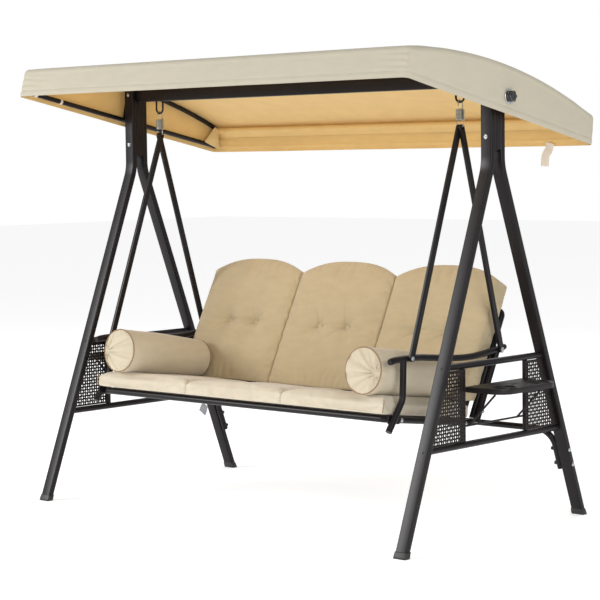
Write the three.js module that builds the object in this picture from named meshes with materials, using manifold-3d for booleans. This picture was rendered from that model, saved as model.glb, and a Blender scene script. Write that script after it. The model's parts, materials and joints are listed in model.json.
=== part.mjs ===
// A three-seat garden swing with a tilting fabric canopy, two fold-down side trays, a hanging
// sprung bench with cushions, and two bolsters. Millimetres. +X is to the right of a person who
// looks at its front, the front is towards -Y, +Z is up. The origin is on the floor, midway
// between the four feet. Left is -X and right is +X.
import * as THREE from 'three';
import { mergeVertices } from 'three/addons/utils/BufferGeometryUtils.js';
import Module from 'manifold-3d';

const GAP = 0.3;

// The two A-frames: rectangular tube legs that bend and run upright either side of a post.
const FRAME_X = 963;
const LEG_WIDE = 50;
const LEG_DEEP = 25;
const LEG_CORNER = 5;
const FOOT_Y = 556;
const NECK_Y = 31;
const BEND_Z = 1382;
const BEND_RADIUS = 190;
const LEG_START_Z = 5;
const LEG_TOP_Z = 1722;
const CAP_HIGH = 24;
const BEAM_HIGH = 50;
const POST_LOW_Z = 1440;

// The side frame between the legs of each A-frame.
const TUBE_RADIUS = 12.5;
const SIDE_TOP_Z = 654.5;
const SIDE_BOTTOM_Z = 362.5;
const PANEL_INNER_Y = 186;
const UPRIGHT_WIDE = 20;
const UPRIGHT_THICK = 16;
const PANEL_THICK = 2;

// The rear crossbar and its turned-down ends.
const CROSSBAR_Z = 348;
const CROSSBAR_END_Z = 190;
const CROSSBAR_BEND = 70;

// The hooks under the beam, the springs and the hanger bars.
const HOOK_X = 812;
const HOOK_Z = 1620;
const HOOK_BEND = 19.5;
const HOOK_ROD = 4;
const HOOK_TOP_Z = 1731;
const SPRING_RADIUS = 15;
const SPRING_WIRE = 2.25;
const SPRING_TURNS = 8.25;
const COIL_TOP_Z = 1592;
const COIL_LOW_Z = 1552;
const EYE_Z = 1525;
const HANGER_WIDE = 24;
const HANGER_THICK = 11;
const HANGER_STACK = 5.8;
const FRONT_BOLT = [-302, 681];
const REAR_BOLT = [248.4, 670];
const BOLT_RADIUS = 4;

// The bench: its frame leans back, and its back leans further.
const ARM_X = HOOK_X - HANGER_THICK / 2 - GAP - TUBE_RADIUS;
const RAIL_X = ARM_X - 2 * TUBE_RADIUS - 0.4;
const SEAT_ORIGIN = [0, -388, 462];
const SEAT_TILT = THREE.MathUtils.degToRad(7.5);
const SEAT_DEEP = 490;
const BACK_ORIGIN = [0, 121, 420];
const BACK_RISE = THREE.MathUtils.degToRad(63);
const BACK_TOP = 440;
const CORNER_BEND = 24;
const SLING_THICK = 2.5;
const SLING_HALF = 745;

// The cushions and bolsters.
const CUSHION_HALF = 776;
const SEAT_CUSHION = { front: -42, rear: 480, low: 16.2, high: 80.2 };
const BACK_CUSHION = { low: 26, shoulder: 540, crown: 616, behind: 16.2, thick: 85 };
const SECTIONS = 3;
const BOLSTER_X = 667;
const BOLSTER_RADIUS = 90;
const BOLSTER_LONG = 462;
const BOLSTER_FRONT = -40;

// The side trays and the wire struts under them.
const TRAY = { inner: 958, outer: 1137, half: 176, low: 555, high: 575, wall: 2 };
const TRAY_PIN = [967, 560];
const CUP = { x: 1090, y: 105, radius: 38, rim: 43, high: 579 };
const STRUT_PIVOT = [957, 430];
const STRUT_ROD = 4;
const STRUT_ARM_Y = 150;
const STRUT_LONG = 170;

// The canopy tilts about the axis of its two knobs. Its own frame has y along its slope and z
// square to it, measured from that axis.
const PIVOT_Z = 1634;
const CANOPY_TILT = THREE.MathUtils.degToRad(11.7);
const CANOPY_HALF = 1037;
const CANOPY_DEEP = 586;
const CANOPY_SHIFT = -8;
const CANOPY_CROWN = 117;
const CANOPY_ARC = 4980;
const CANOPY_HEM = -65;
const CANOPY_SKIN = 2.5;
const CANOPY_EDGE = 14;
const CANOPY_TUBE = 10;
const CANOPY_RAIL_X = 1018;
const LOWER_RAIL_Z = -41;
const END_RAIL_Y = 562;
const END_RAIL_Z = 28;
const BRACKET_HALF = 30;
const KNOB_X = 1040;
const KNOB_THICK = 20;
const KNOB_RADIUS = 22;
const STUD_RADIUS = 5;

const METAL = new THREE.MeshStandardMaterial({ color: 0x37312f, roughness: 0.45, metalness: 0.7 });
const PERFORATED = new THREE.MeshStandardMaterial({ color: 0x2b2321, roughness: 0.5, metalness: 0.6 });
const ZINC = new THREE.MeshStandardMaterial({ color: 0xb9bcbf, roughness: 0.35, metalness: 1 });
const PLASTIC = new THREE.MeshStandardMaterial({ color: 0x141314, roughness: 0.5, metalness: 0 });
const CANVAS = new THREE.MeshStandardMaterial({ color: 0xd8d0ba, roughness: 0.85, metalness: 0 });
const CUSHION = new THREE.MeshStandardMaterial({ color: 0xcdbd9c, roughness: 0.9, metalness: 0 });
const SLING = new THREE.MeshStandardMaterial({ color: 0x4a4540, roughness: 0.8, metalness: 0 });

const wasm = await Module();
wasm.setup();

const at = (x, y, z) => new THREE.Vector3(x, y, z);

// Joining and cutting.

function toSolid(geometry) {
  const loose = geometry.index ? geometry.toNonIndexed() : geometry;
  const bare = new THREE.BufferGeometry().setAttribute('position', loose.getAttribute('position'));
  const merged = mergeVertices(bare, 1e-4);
  return new wasm.Manifold(new wasm.Mesh({
    numProp: 3,
    vertProperties: merged.attributes.position.array,
    triVerts: new Uint32Array(merged.index.array),
  }));
}

function toGeometry(solid) {
  const mesh = solid.getMesh();
  const geometry = new THREE.BufferGeometry();
  geometry.setAttribute('position', new THREE.BufferAttribute(mesh.vertProperties, 3));
  geometry.setIndex(new THREE.BufferAttribute(mesh.triVerts, 1));
  return geometry;
}

function join(first, ...others) {
  return toGeometry(others.reduce((solid, other) => solid.add(toSolid(other)), toSolid(first)));
}

function cut(first, ...others) {
  return toGeometry(others.reduce((solid, other) => solid.subtract(toSolid(other)), toSolid(first)));
}

// Routes, sections and bars.

// A route through given points that is sampled exactly at them.
class Route extends THREE.Curve {
  constructor(points) {
    super();
    this.points = points;
  }

  indexAt(u) {
    return Math.round(u * (this.points.length - 1));
  }

  getPointAt(u, target = new THREE.Vector3()) {
    return target.copy(this.points[this.indexAt(u)]);
  }

  getTangentAt(u, target = new THREE.Vector3()) {
    const i = this.indexAt(u);
    const here = this.points[i];
    const before = this.points[Math.max(i - 1, 0)];
    const after = this.points[Math.min(i + 1, this.points.length - 1)];
    const arriving = here.clone().sub(before).normalize();
    const leaving = after.clone().sub(here).normalize();
    return target.copy(arriving).add(leaving).normalize();
  }
}

// The points of a route with each inner corner turned into an arc.
function rounded(corners, radius, stepDegrees = 18) {
  const points = [corners[0]];
  for (let i = 1; i < corners.length - 1; i += 1) {
    const corner = corners[i];
    const back = corners[i - 1].clone().sub(corner).normalize();
    const on = corners[i + 1].clone().sub(corner).normalize();
    const turn = Math.PI - back.angleTo(on);
    const reach = radius * Math.tan(turn / 2);
    const inward = back.clone().add(on).normalize();
    const centre = corner.clone().addScaledVector(inward, radius / Math.cos(turn / 2));
    const spoke = corner.clone().addScaledVector(back, reach).sub(centre);
    const last = corner.clone().addScaledVector(on, reach).sub(centre);
    const axis = spoke.clone().cross(last).normalize();
    const steps = Math.max(2, Math.ceil(THREE.MathUtils.radToDeg(turn) / stepDegrees));
    for (let step = 0; step <= steps; step += 1) {
      points.push(spoke.clone().applyAxisAngle(axis, (turn * step) / steps).add(centre));
    }
  }
  points.push(corners[corners.length - 1]);
  return points;
}

function roundSection(radius, sides) {
  const points = [];
  for (let i = 0; i < sides; i += 1) {
    const angle = (2 * Math.PI * (i + 0.5)) / sides;
    points.push(new THREE.Vector2(radius * Math.cos(angle), radius * Math.sin(angle)));
  }
  return new THREE.Shape(points);
}

// A rectangle with each corner taken off.
function boxSection(width, height, corner) {
  const x = width / 2;
  const y = height / 2;
  return new THREE.Shape([
    new THREE.Vector2(-x + corner, -y),
    new THREE.Vector2(x - corner, -y),
    new THREE.Vector2(x, -y + corner),
    new THREE.Vector2(x, y - corner),
    new THREE.Vector2(x - corner, y),
    new THREE.Vector2(-x + corner, y),
    new THREE.Vector2(-x, y - corner),
    new THREE.Vector2(-x, -y + corner),
  ]);
}

function along(points, section) {
  return new THREE.ExtrudeGeometry(section, {
    steps: points.length - 1,
    extrudePath: new Route(points),
    bevelEnabled: false,
  });
}

const tube = (points, radius, sides = 12) => along(points, roundSection(radius, sides));

function box(low, high) {
  const size = high.map((value, axis) => value - low[axis]);
  const middle = high.map((value, axis) => (value + low[axis]) / 2);
  return new THREE.BoxGeometry(...size).translate(...middle);
}

// An outline drawn in y and z, made solid from x = low to x = high.
function slab(outline, low, high, options = {}) {
  const geometry = new THREE.ExtrudeGeometry(outline, {
    depth: high - low,
    bevelEnabled: false,
    curveSegments: 6,
    ...options,
  });
  geometry.applyMatrix4(new THREE.Matrix4().makeBasis(at(0, 1, 0), at(0, 0, 1), at(1, 0, 0)));
  return geometry.translate(low, 0, 0);
}

function rodX(low, high, [y, z], radius, sides = 12) {
  return tube([at(low, y, z), at(high, y, z)], radius, sides);
}

function rodY(low, high, [x, z], radius, sides = 12) {
  return tube([at(x, low, z), at(x, high, z)], radius, sides);
}

function rodZ(low, high, [x, y], radius, sides = 12) {
  return tube([at(x, y, low), at(x, y, high)], radius, sides);
}

// The A-frames.

const LEG_SLOPE = (FOOT_Y - NECK_Y) / BEND_Z;
const LEG_LEAN = Math.atan(LEG_SLOPE);
const legY = (z) => FOOT_Y - LEG_SLOPE * z;

// A leg on the right, with clearance around it where another piece is cut to fit. A leg towards
// the front has end -1, and one towards the rear has end 1.
function leg(end, clearance = 0) {
  const corners = [
    at(FRAME_X, end * legY(LEG_START_Z), LEG_START_Z),
    at(FRAME_X, end * NECK_Y, BEND_Z),
    at(FRAME_X, end * NECK_Y, LEG_TOP_Z),
  ];
  const section = boxSection(LEG_WIDE + 2 * clearance, LEG_DEEP + 2 * clearance, LEG_CORNER);
  return along(rounded(corners, BEND_RADIUS, 10), section);
}

// A moulded cap that the leg's end stands in, wider in the middle of its height.
function footCap() {
  const sole = boxSection(LEG_WIDE + 4, LEG_DEEP + 4, 6);
  const cap = new THREE.ExtrudeGeometry(sole, {
    depth: CAP_HIGH - 8,
    bevelThickness: 4,
    bevelSize: 3,
    bevelSegments: 3,
  });
  cap.translate(0, 0, 4);
  cap.applyMatrix4(new THREE.Matrix4().makeShear(0, 0, 0, 0, 0, LEG_SLOPE));
  cap.translate(FRAME_X, -FOOT_Y, 0);
  return cut(cap, leg(-1, GAP));
}

function topBeam() {
  const half = FRAME_X + LEG_WIDE / 2;
  const side = NECK_Y - LEG_DEEP / 2 - GAP;
  const beam = box([-half, -side, LEG_TOP_Z - BEAM_HIGH], [half, side, LEG_TOP_Z]);
  const holes = [];
  for (const x of [-HOOK_X, HOOK_X]) {
    for (const bend of [-HOOK_BEND, HOOK_BEND]) {
      holes.push(rodZ(LEG_TOP_Z - BEAM_HIGH - 5, LEG_TOP_Z + 5, [x + bend, 0], HOOK_ROD + GAP));
    }
  }
  return cut(beam, ...holes);
}

// The post that hangs from the beam's end between the legs, with a blind hole for the knob's stud.
function centrePost() {
  const side = NECK_Y - LEG_DEEP / 2 - GAP;
  const outer = FRAME_X + LEG_WIDE / 2;
  const post = box([FRAME_X - LEG_WIDE / 2, -side, POST_LOW_Z], [outer, side, LEG_TOP_Z - BEAM_HIGH - GAP]);
  return cut(post, rodX(outer - 22, outer + 5, [0, PIVOT_Z], STUD_RADIUS + GAP));
}

// The side frames.

function sideRail(z) {
  const rail = rodY(-legY(z), legY(z), [FRAME_X, z], TUBE_RADIUS);
  return cut(rail, leg(-1, GAP), leg(1, GAP));
}

// A perforated sheet between the leg and an upright, here as a plain sheet with its margin.
function sidePanel() {
  const low = SIDE_BOTTOM_Z + TUBE_RADIUS + GAP;
  const high = SIDE_TOP_Z - TUBE_RADIUS - GAP;
  const clear = LEG_DEEP / 2 / Math.cos(LEG_LEAN) + 2 * GAP;
  const outline = new THREE.Shape([
    new THREE.Vector2(-legY(low) + clear, low),
    new THREE.Vector2(-PANEL_INNER_Y - 1, low),
    new THREE.Vector2(-PANEL_INNER_Y - 1, high),
    new THREE.Vector2(-legY(high) + clear, high),
  ]);
  const outer = FRAME_X + UPRIGHT_THICK / 2;
  const sheet = slab(outline, outer - PANEL_THICK, outer);
  const upright = box(
    [FRAME_X - UPRIGHT_THICK / 2, -PANEL_INNER_Y - UPRIGHT_WIDE, low],
    [FRAME_X + UPRIGHT_THICK / 2, -PANEL_INNER_Y, high],
  );
  return join(sheet, upright);
}

function rearCrossbar() {
  const x = FRAME_X - LEG_WIDE / 2 - GAP - TUBE_RADIUS;
  const y = legY(CROSSBAR_Z);
  const endY = legY(CROSSBAR_END_Z);
  const corners = [
    at(-x, endY, CROSSBAR_END_Z),
    at(-x, y, CROSSBAR_Z),
    at(x, y, CROSSBAR_Z),
    at(x, endY, CROSSBAR_END_Z),
  ];
  return tube(rounded(corners, CROSSBAR_BEND), TUBE_RADIUS);
}

// The hooks and springs.

function hexNut(radius, low, high, [x, y]) {
  return new THREE.CylinderGeometry(radius, radius, high - low, 6)
    .rotateX(Math.PI / 2)
    .translate(x, y, (low + high) / 2);
}

function hookBolt() {
  const bend = HOOK_Z + HOOK_BEND;
  const corners = [
    at(HOOK_X - HOOK_BEND, 0, HOOK_TOP_Z),
    at(HOOK_X - HOOK_BEND, 0, bend - HOOK_BEND),
    at(HOOK_X + HOOK_BEND, 0, bend - HOOK_BEND),
    at(HOOK_X + HOOK_BEND, 0, HOOK_TOP_Z),
  ];
  const rod = tube(rounded(corners, HOOK_BEND - 0.5, 22.5), HOOK_ROD, 8);
  const nuts = [-HOOK_BEND, HOOK_BEND].map(
    (bendX) => hexNut(7.5, LEG_TOP_Z + GAP, LEG_TOP_Z + GAP + 6.5, [HOOK_X + bendX, 0]),
  );
  return join(rod, ...nuts);
}

// The spring's wire: a hook over the bolt's bend, the close coil, and a hook through the hangers.
function springRoute() {
  const points = [];
  const loop = 13;
  const loopZ = HOOK_Z - 6;
  for (let degrees = 225; degrees >= 0; degrees -= 25) {
    const angle = THREE.MathUtils.degToRad(degrees);
    points.push(at(HOOK_X, loop * Math.cos(angle), loopZ + loop * Math.sin(angle)));
  }
  points.push(at(HOOK_X, SPRING_RADIUS, COIL_TOP_Z + 6));
  points.push(at(HOOK_X - 1, SPRING_RADIUS, COIL_TOP_Z + 2.6));
  const stepsPerTurn = 10;
  const steps = SPRING_TURNS * stepsPerTurn;
  for (let step = 1; step <= steps; step += 1) {
    const angle = Math.PI / 2 + (2 * Math.PI * step) / stepsPerTurn;
    const z = COIL_TOP_Z - ((COIL_TOP_Z - COIL_LOW_Z) * step) / steps;
    points.push(at(HOOK_X + SPRING_RADIUS * Math.cos(angle), SPRING_RADIUS * Math.sin(angle), z));
  }
  const hook = [
    at(HOOK_X - SPRING_RADIUS, -2, COIL_LOW_Z - 3),
    at(HOOK_X - SPRING_RADIUS, 0, EYE_Z + 2),
    at(HOOK_X + SPRING_RADIUS, 0, EYE_Z + 2),
    at(HOOK_X + SPRING_RADIUS, 0, EYE_Z + 20),
  ];
  return points.concat(rounded(hook, 5, 30));
}

const spring = () => tube(springRoute(), SPRING_WIRE, 5);

// The hanging bench.

// A flat bar from the spring's hook down to a bolt on the armrest, with an eye at each end.
function hangerBar([y, z], layer) {
  const eye = at(HOOK_X + layer, 0, EYE_Z);
  const foot = at(HOOK_X, y, z);
  const down = foot.clone().sub(eye);
  const long = down.length();
  down.normalize();
  const sideways = at(1, 0, 0).addScaledVector(down, -down.x).normalize();
  const across = sideways.clone().cross(down);
  const half = HANGER_WIDE / 2;
  const outline = new THREE.Shape();
  outline.absarc(0, 0, half, Math.PI / 2, (3 * Math.PI) / 2, false);
  outline.absarc(long, 0, half, -Math.PI / 2, Math.PI / 2, false);
  const eyeHole = new THREE.Path().absarc(0, 0, 7, 0, 2 * Math.PI, true);
  const boltHole = new THREE.Path().absarc(long, 0, BOLT_RADIUS + GAP, 0, 2 * Math.PI, true);
  outline.holes.push(eyeHole, boltHole);
  const bar = new THREE.ExtrudeGeometry(outline, {
    depth: HANGER_THICK,
    bevelEnabled: false,
    curveSegments: 8,
  });
  bar.translate(0, 0, -HANGER_THICK / 2);
  const place = new THREE.Matrix4().makeBasis(down, across, sideways).setPosition(eye);
  return bar.applyMatrix4(place);
}

// The bolt that holds a hanger bar to the armrest, with its nut against the tube centred at x.
function hangerBolt([y, z], x) {
  const nutX = x - TUBE_RADIUS - GAP;
  const headX = HOOK_X + HANGER_THICK / 2 + 2 * GAP;
  const hex = (low, high) => new THREE.CylinderGeometry(7.5, 7.5, high - low, 6)
    .rotateZ(Math.PI / 2)
    .translate((low + high) / 2, y, z);
  const shank = rodX(nutX - 9, headX + 1, [y, z], BOLT_RADIUS, 10);
  return join(shank, hex(headX, headX + 5.3), hex(nutX - 6.5, nutX));
}

const seatPoint = (s, t) => [
  SEAT_ORIGIN[1] + s * Math.cos(SEAT_TILT) + t * Math.sin(SEAT_TILT),
  SEAT_ORIGIN[2] - s * Math.sin(SEAT_TILT) + t * Math.cos(SEAT_TILT),
];

// The armrest tube with its two posts and the tab that the front post is bolted down by.
function armrest() {
  const shape = [
    [-406, 674.5], [-380, 679.3], [-345, 681], FRONT_BOLT, [-235, 678.5], [-155, 671], [-40, 660],
    [60, 655.5], [140, 659], [200, 664.5], REAR_BOLT, [296, 677],
  ];
  const arm = tube(shape.map(([y, z]) => at(ARM_X, y, z)), TUBE_RADIUS);
  const frontCorners = [[-327, 676], [-333, 532], [-416, 420]];
  const front = tube(rounded(frontCorners.map(([y, z]) => at(ARM_X, y, z)), 60), TUBE_RADIUS);
  const rear = tube([at(ARM_X, 110, 398), at(ARM_X, 246, 665)], TUBE_RADIUS);
  const inner = ARM_X - TUBE_RADIUS;
  const tabLong = 66;
  const tab = new THREE.BoxGeometry(4, tabLong, 30)
    .rotateX(-SEAT_TILT)
    .translate(inner + 2, ...seatPoint(15, 0));
  const whole = join(arm, front, rear, tab);
  const holes = [FRONT_BOLT, REAR_BOLT].map(
    (place) => rodX(inner - 5, ARM_X + TUBE_RADIUS + 5, place, BOLT_RADIUS + GAP),
  );
  return cut(whole, ...holes);
}

function seatFrontRail() {
  const corners = [at(-RAIL_X, 45, 0), at(-RAIL_X, 0, 0), at(RAIL_X, 0, 0), at(RAIL_X, 45, 0)];
  return tube(rounded(corners, 32), TUBE_RADIUS);
}

// A tube of the back, which the rear bolt of the hanger bar passes through.
function backSideTube() {
  const top = BACK_TOP - CORNER_BEND - 5 - GAP;
  const upright = tube([at(RAIL_X, -7.5, 0), at(RAIL_X, top, 0)], TUBE_RADIUS);
  const boltUp = Math.hypot(REAR_BOLT[0] - BACK_ORIGIN[1], REAR_BOLT[1] - BACK_ORIGIN[2]);
  return cut(upright, rodX(RAIL_X - 20, RAIL_X + 20, [boltUp, 0], BOLT_RADIUS + GAP));
}

// The tube across the rear of the seat, between the two side rails.
function seatRearRail() {
  const half = RAIL_X - TUBE_RADIUS - GAP;
  return rodX(-half, half, [SEAT_DEEP, 0], TUBE_RADIUS);
}

function backTopRail() {
  const start = BACK_TOP - CORNER_BEND - 5;
  const corners = [
    at(-RAIL_X, start, 0), at(-RAIL_X, BACK_TOP, 0), at(RAIL_X, BACK_TOP, 0), at(RAIL_X, start, 0),
  ];
  return tube(rounded(corners, CORNER_BEND), TUBE_RADIUS);
}

// The fabric stretched over the rails that a cushion lies on.
function sling(low, high) {
  const under = TUBE_RADIUS + GAP;
  return box([-SLING_HALF, low, under], [SLING_HALF, high, under + SLING_THICK]);
}

// The cushions.

function seatCushion() {
  const { front, rear, low, high } = SEAT_CUSHION;
  const section = boxSection(rear - front, high - low, 12);
  return slab(section, -CUSHION_HALF, CUSHION_HALF).translate(0, (front + rear) / 2, (low + high) / 2);
}

// Three arched sections side by side. The bottom is sloped to lie along the seat cushion.
function backCushion() {
  const { low, shoulder, crown, behind, thick } = BACK_CUSHION;
  const wide = (2 * CUSHION_HALF) / SECTIONS;
  const ease = wide * 0.16;
  const outline = new THREE.Shape().moveTo(-CUSHION_HALF, 0);
  outline.lineTo(CUSHION_HALF, 0);
  outline.lineTo(CUSHION_HALF, shoulder);
  for (let section = 0; section < SECTIONS; section += 1) {
    const right = CUSHION_HALF - section * wide;
    const left = right - wide;
    outline.bezierCurveTo(right - ease, crown, left + ease, crown, left, shoulder);
  }
  const cushion = new THREE.ExtrudeGeometry(outline, {
    depth: thick,
    bevelEnabled: false,
    curveSegments: 8,
  });
  cushion.translate(0, 0, behind);
  const place = cushion.getAttribute('position');
  const slope = Math.tan(Math.PI / 2 - BACK_RISE - SEAT_TILT);
  for (let i = 0; i < place.count; i += 1) {
    if (place.getY(i) < 1) {
      place.setY(i, low + slope * (behind + thick - place.getZ(i)));
    }
  }
  return cushion;
}

function bolster() {
  const half = BOLSTER_LONG / 2;
  const edge = 14;
  const profile = [
    [0, -half], [BOLSTER_RADIUS - edge, -half], [BOLSTER_RADIUS - 4, -half + 4],
    [BOLSTER_RADIUS, -half + edge], [BOLSTER_RADIUS, half - edge],
    [BOLSTER_RADIUS - 4, half - 4], [BOLSTER_RADIUS - edge, half], [0, half],
  ];
  return new THREE.LatheGeometry(profile.map(([r, y]) => new THREE.Vector2(r, y)), 24);
}

// The side trays.

function trayOutline(inset) {
  const inner = TRAY.inner + inset;
  const outer = TRAY.outer - inset;
  const half = TRAY.half - inset;
  const corner = 62 - inset;
  const outline = new THREE.Shape().moveTo(inner, -half);
  outline.lineTo(outer - corner, -half);
  outline.absarc(outer - corner, -half + corner, corner, -Math.PI / 2, 0, false);
  outline.absarc(outer - corner, half - corner, corner, 0, Math.PI / 2, false);
  outline.lineTo(inner, half);
  return outline;
}

// A pressed tray with a turned-down edge, two holes for cups, a slot, and a pin at each end.
function sideTray() {
  const pressed = (inset, low, high) => new THREE.ExtrudeGeometry(trayOutline(inset), {
    depth: high - low,
    bevelEnabled: false,
    curveSegments: 5,
  }).translate(0, 0, low);
  const shell = cut(
    pressed(0, TRAY.low, TRAY.high),
    pressed(TRAY.wall, TRAY.low - 5, TRAY.high - TRAY.wall),
  );
  const cups = [-CUP.y, CUP.y];
  const rimLow = TRAY.high - TRAY.wall - 6;
  const rims = cups.map((y) => rodZ(rimLow, CUP.high, [CUP.x, y], CUP.rim, 24));
  const holes = cups.map((y) => rodZ(TRAY.low - 5, CUP.high + 5, [CUP.x, y], CUP.radius, 24));
  const reach = PANEL_INNER_Y - GAP;
  const pins = [-1, 1].map((end) => rodY(end * (TRAY.half - 1), end * reach, TRAY_PIN, 3.5, 8));
  const slot = box([CUP.x - 46, -17, TRAY.low], [CUP.x - 34, 17, TRAY.high + 5]);
  return cut(join(shell, ...rims, ...pins), ...holes, slot);
}

function trayStrut() {
  const reach = PANEL_INNER_Y - GAP;
  const step = STRUT_LONG * Math.SQRT1_2;
  const [x, z] = STRUT_PIVOT;
  const arms = [-STRUT_ARM_Y, STRUT_ARM_Y].map(
    (y) => tube([at(x, y, z), at(x + step, y, z + step)], STRUT_ROD, 8),
  );
  return join(rodY(-reach, reach, STRUT_PIVOT, STRUT_ROD, 8), ...arms);
}

// The canopy, in its own frame.

const crownAt = (y, inset) => CANOPY_CROWN - (y * y) / CANOPY_ARC - inset;

// The canopy's section from front to rear, its top an arc and its corners rounded.
function canopySection(inset, bottom) {
  const shoulder = 546;
  const points = [];
  const steps = 12;
  for (let step = 0; step <= steps; step += 1) {
    const y = shoulder - (2 * shoulder * step) / steps;
    points.push([y, crownAt(y, inset)]);
  }
  const corner = (end) => [
    [end * (CANOPY_DEEP - 19 - inset), crownAt(565, inset) - 3],
    [end * (CANOPY_DEEP - 8 - inset), crownAt(575, inset) - 12],
    [end * (CANOPY_DEEP - 5 - inset), crownAt(578, inset) - 26],
    [end * (CANOPY_DEEP - inset), bottom],
  ];
  const all = [...corner(1).reverse(), ...points, ...corner(-1)];
  return new THREE.Shape(all.map(([y, z]) => new THREE.Vector2(y, z)));
}

function canopyCover() {
  const edge = {
    bevelEnabled: true,
    bevelThickness: CANOPY_EDGE,
    bevelSize: CANOPY_EDGE,
    bevelOffset: -CANOPY_EDGE,
    bevelSegments: 2,
  };
  const end = CANOPY_HALF - CANOPY_EDGE;
  const innerEnd = end - CANOPY_SKIN;
  const outside = slab(canopySection(0, -100), -end, end, edge);
  const inside = slab(canopySection(CANOPY_SKIN, -140), -innerEnd, innerEnd, edge);
  const far = 1300;
  const below = box([-far, -far, -200], [far, far, CANOPY_HEM]);
  const hole = rodX(-CANOPY_HALF - 5, CANOPY_HALF + 5, [-CANOPY_SHIFT, 0], STUD_RADIUS + 4);
  return cut(outside, inside, below, hole).translate(0, CANOPY_SHIFT, 0);
}

// The arched tube under the canopy's side edge, whose ends turn down to the lower rail.
function canopyArchRail() {
  const points = [];
  const shoulder = 500;
  const steps = 8;
  const under = CANOPY_SKIN + CANOPY_TUBE + 1;
  for (let step = 0; step <= steps; step += 1) {
    const y = -shoulder + (2 * shoulder * step) / steps;
    points.push(at(CANOPY_RAIL_X, y, crownAt(y, under)));
  }
  const corner = at(CANOPY_RAIL_X, END_RAIL_Y, crownAt(END_RAIL_Y, under) - 1);
  const foot = at(CANOPY_RAIL_X, END_RAIL_Y, LOWER_RAIL_Z - CANOPY_TUBE);
  const rear = rounded([points[points.length - 1], corner, foot], 24, 30).slice(1);
  const front = rear.map((point) => at(point.x, -point.y, point.z)).reverse();
  return tube([...front, ...points, ...rear], CANOPY_TUBE, 10).translate(0, CANOPY_SHIFT, 0);
}

// The straight lower tube with the pivot bracket welded to its inner side.
function canopyLowerRail() {
  const half = END_RAIL_Y - CANOPY_TUBE - GAP;
  const ends = [-half + CANOPY_SHIFT, half + CANOPY_SHIFT];
  const rail = rodY(...ends, [CANOPY_RAIL_X, LOWER_RAIL_Z], CANOPY_TUBE, 10);
  const inner = CANOPY_RAIL_X - CANOPY_TUBE;
  const top = crownAt(BRACKET_HALF, CANOPY_SKIN) - 4;
  const plate = new THREE.Shape([
    new THREE.Vector2(-BRACKET_HALF, LOWER_RAIL_Z - 6),
    new THREE.Vector2(BRACKET_HALF, LOWER_RAIL_Z - 6),
    new THREE.Vector2(BRACKET_HALF, top),
    new THREE.Vector2(-BRACKET_HALF, top),
  ]);
  const weld = box(
    [inner - 2, -BRACKET_HALF, LOWER_RAIL_Z - 5],
    [inner + 4, BRACKET_HALF, LOWER_RAIL_Z + 5],
  );
  const bracket = slab(plate, inner - 5, inner - GAP);
  const hole = rodX(inner - 10, inner + 10, [0, 0], STUD_RADIUS + 1);
  return cut(join(rail, bracket, weld), hole);
}

function canopyEndRail(end) {
  const half = CANOPY_RAIL_X - CANOPY_TUBE - GAP;
  const y = end * END_RAIL_Y + CANOPY_SHIFT;
  return rodX(-half, half, [y, END_RAIL_Z], CANOPY_TUBE, 10);
}

// A lobed hand knob moulded on its stud.
function tiltKnob() {
  const lobes = 6;
  const points = [];
  for (let i = 0; i < 36; i += 1) {
    const angle = (2 * Math.PI * i) / 36;
    const radius = KNOB_RADIUS - 2 + 1.8 * Math.cos(lobes * angle);
    points.push(new THREE.Vector2(radius * Math.cos(angle), radius * Math.sin(angle)));
  }
  const bevel = 2;
  const knob = slab(new THREE.Shape(points), KNOB_X + bevel, KNOB_X + KNOB_THICK - bevel, {
    bevelEnabled: true,
    bevelThickness: bevel,
    bevelSize: bevel,
    bevelSegments: 1,
  });
  const inner = FRAME_X + LEG_WIDE / 2 - 20;
  return join(knob, rodX(inner, KNOB_X + 4, [0, 0], STUD_RADIUS)).translate(0, 0, PIVOT_Z);
}

// The assembly.

const swing = new THREE.Group();
const seat = new THREE.Group();
const back = new THREE.Group();
const canopy = new THREE.Group();
seat.position.set(...SEAT_ORIGIN);
seat.rotation.x = -SEAT_TILT;
back.position.set(...BACK_ORIGIN);
back.rotation.x = BACK_RISE;
canopy.position.set(0, 0, PIVOT_Z);
canopy.rotation.x = -CANOPY_TILT;
swing.add(seat, back, canopy);

function add(parent, name, geometry, material) {
  const mesh = new THREE.Mesh(geometry, material);
  mesh.name = name;
  parent.add(mesh);
  return mesh;
}

// A piece made for the right side, and its mirror image on the left.
function addPair(parent, name, geometry, material) {
  add(parent, `${name}_right`, geometry, material);
  add(parent, `${name}_left`, geometry, material).scale.x = -1;
}

// A piece made for the front right, and its three mirror images.
function addFour(parent, name, geometry, material) {
  addPair(parent, `${name}_front`, geometry, material);
  add(parent, `${name}_rear_right`, geometry, material).scale.set(1, -1, 1);
  add(parent, `${name}_rear_left`, geometry, material).scale.set(-1, -1, 1);
}

addFour(swing, 'leg', leg(-1), METAL);
addFour(swing, 'foot_cap', footCap(), PLASTIC);
add(swing, 'top_beam', topBeam(), METAL);
addPair(swing, 'centre_post', centrePost(), METAL);
addPair(swing, 'side_top_rail', sideRail(SIDE_TOP_Z), METAL);
addPair(swing, 'side_bottom_rail', sideRail(SIDE_BOTTOM_Z), METAL);
addFour(swing, 'side_panel', sidePanel(), PERFORATED);
add(swing, 'rear_crossbar', rearCrossbar(), METAL);
addPair(swing, 'hook_bolt', hookBolt(), PLASTIC);
addPair(swing, 'spring', spring(), ZINC);

addPair(swing, 'side_tray', sideTray(), METAL);
addPair(swing, 'tray_strut', trayStrut(), METAL);

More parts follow.
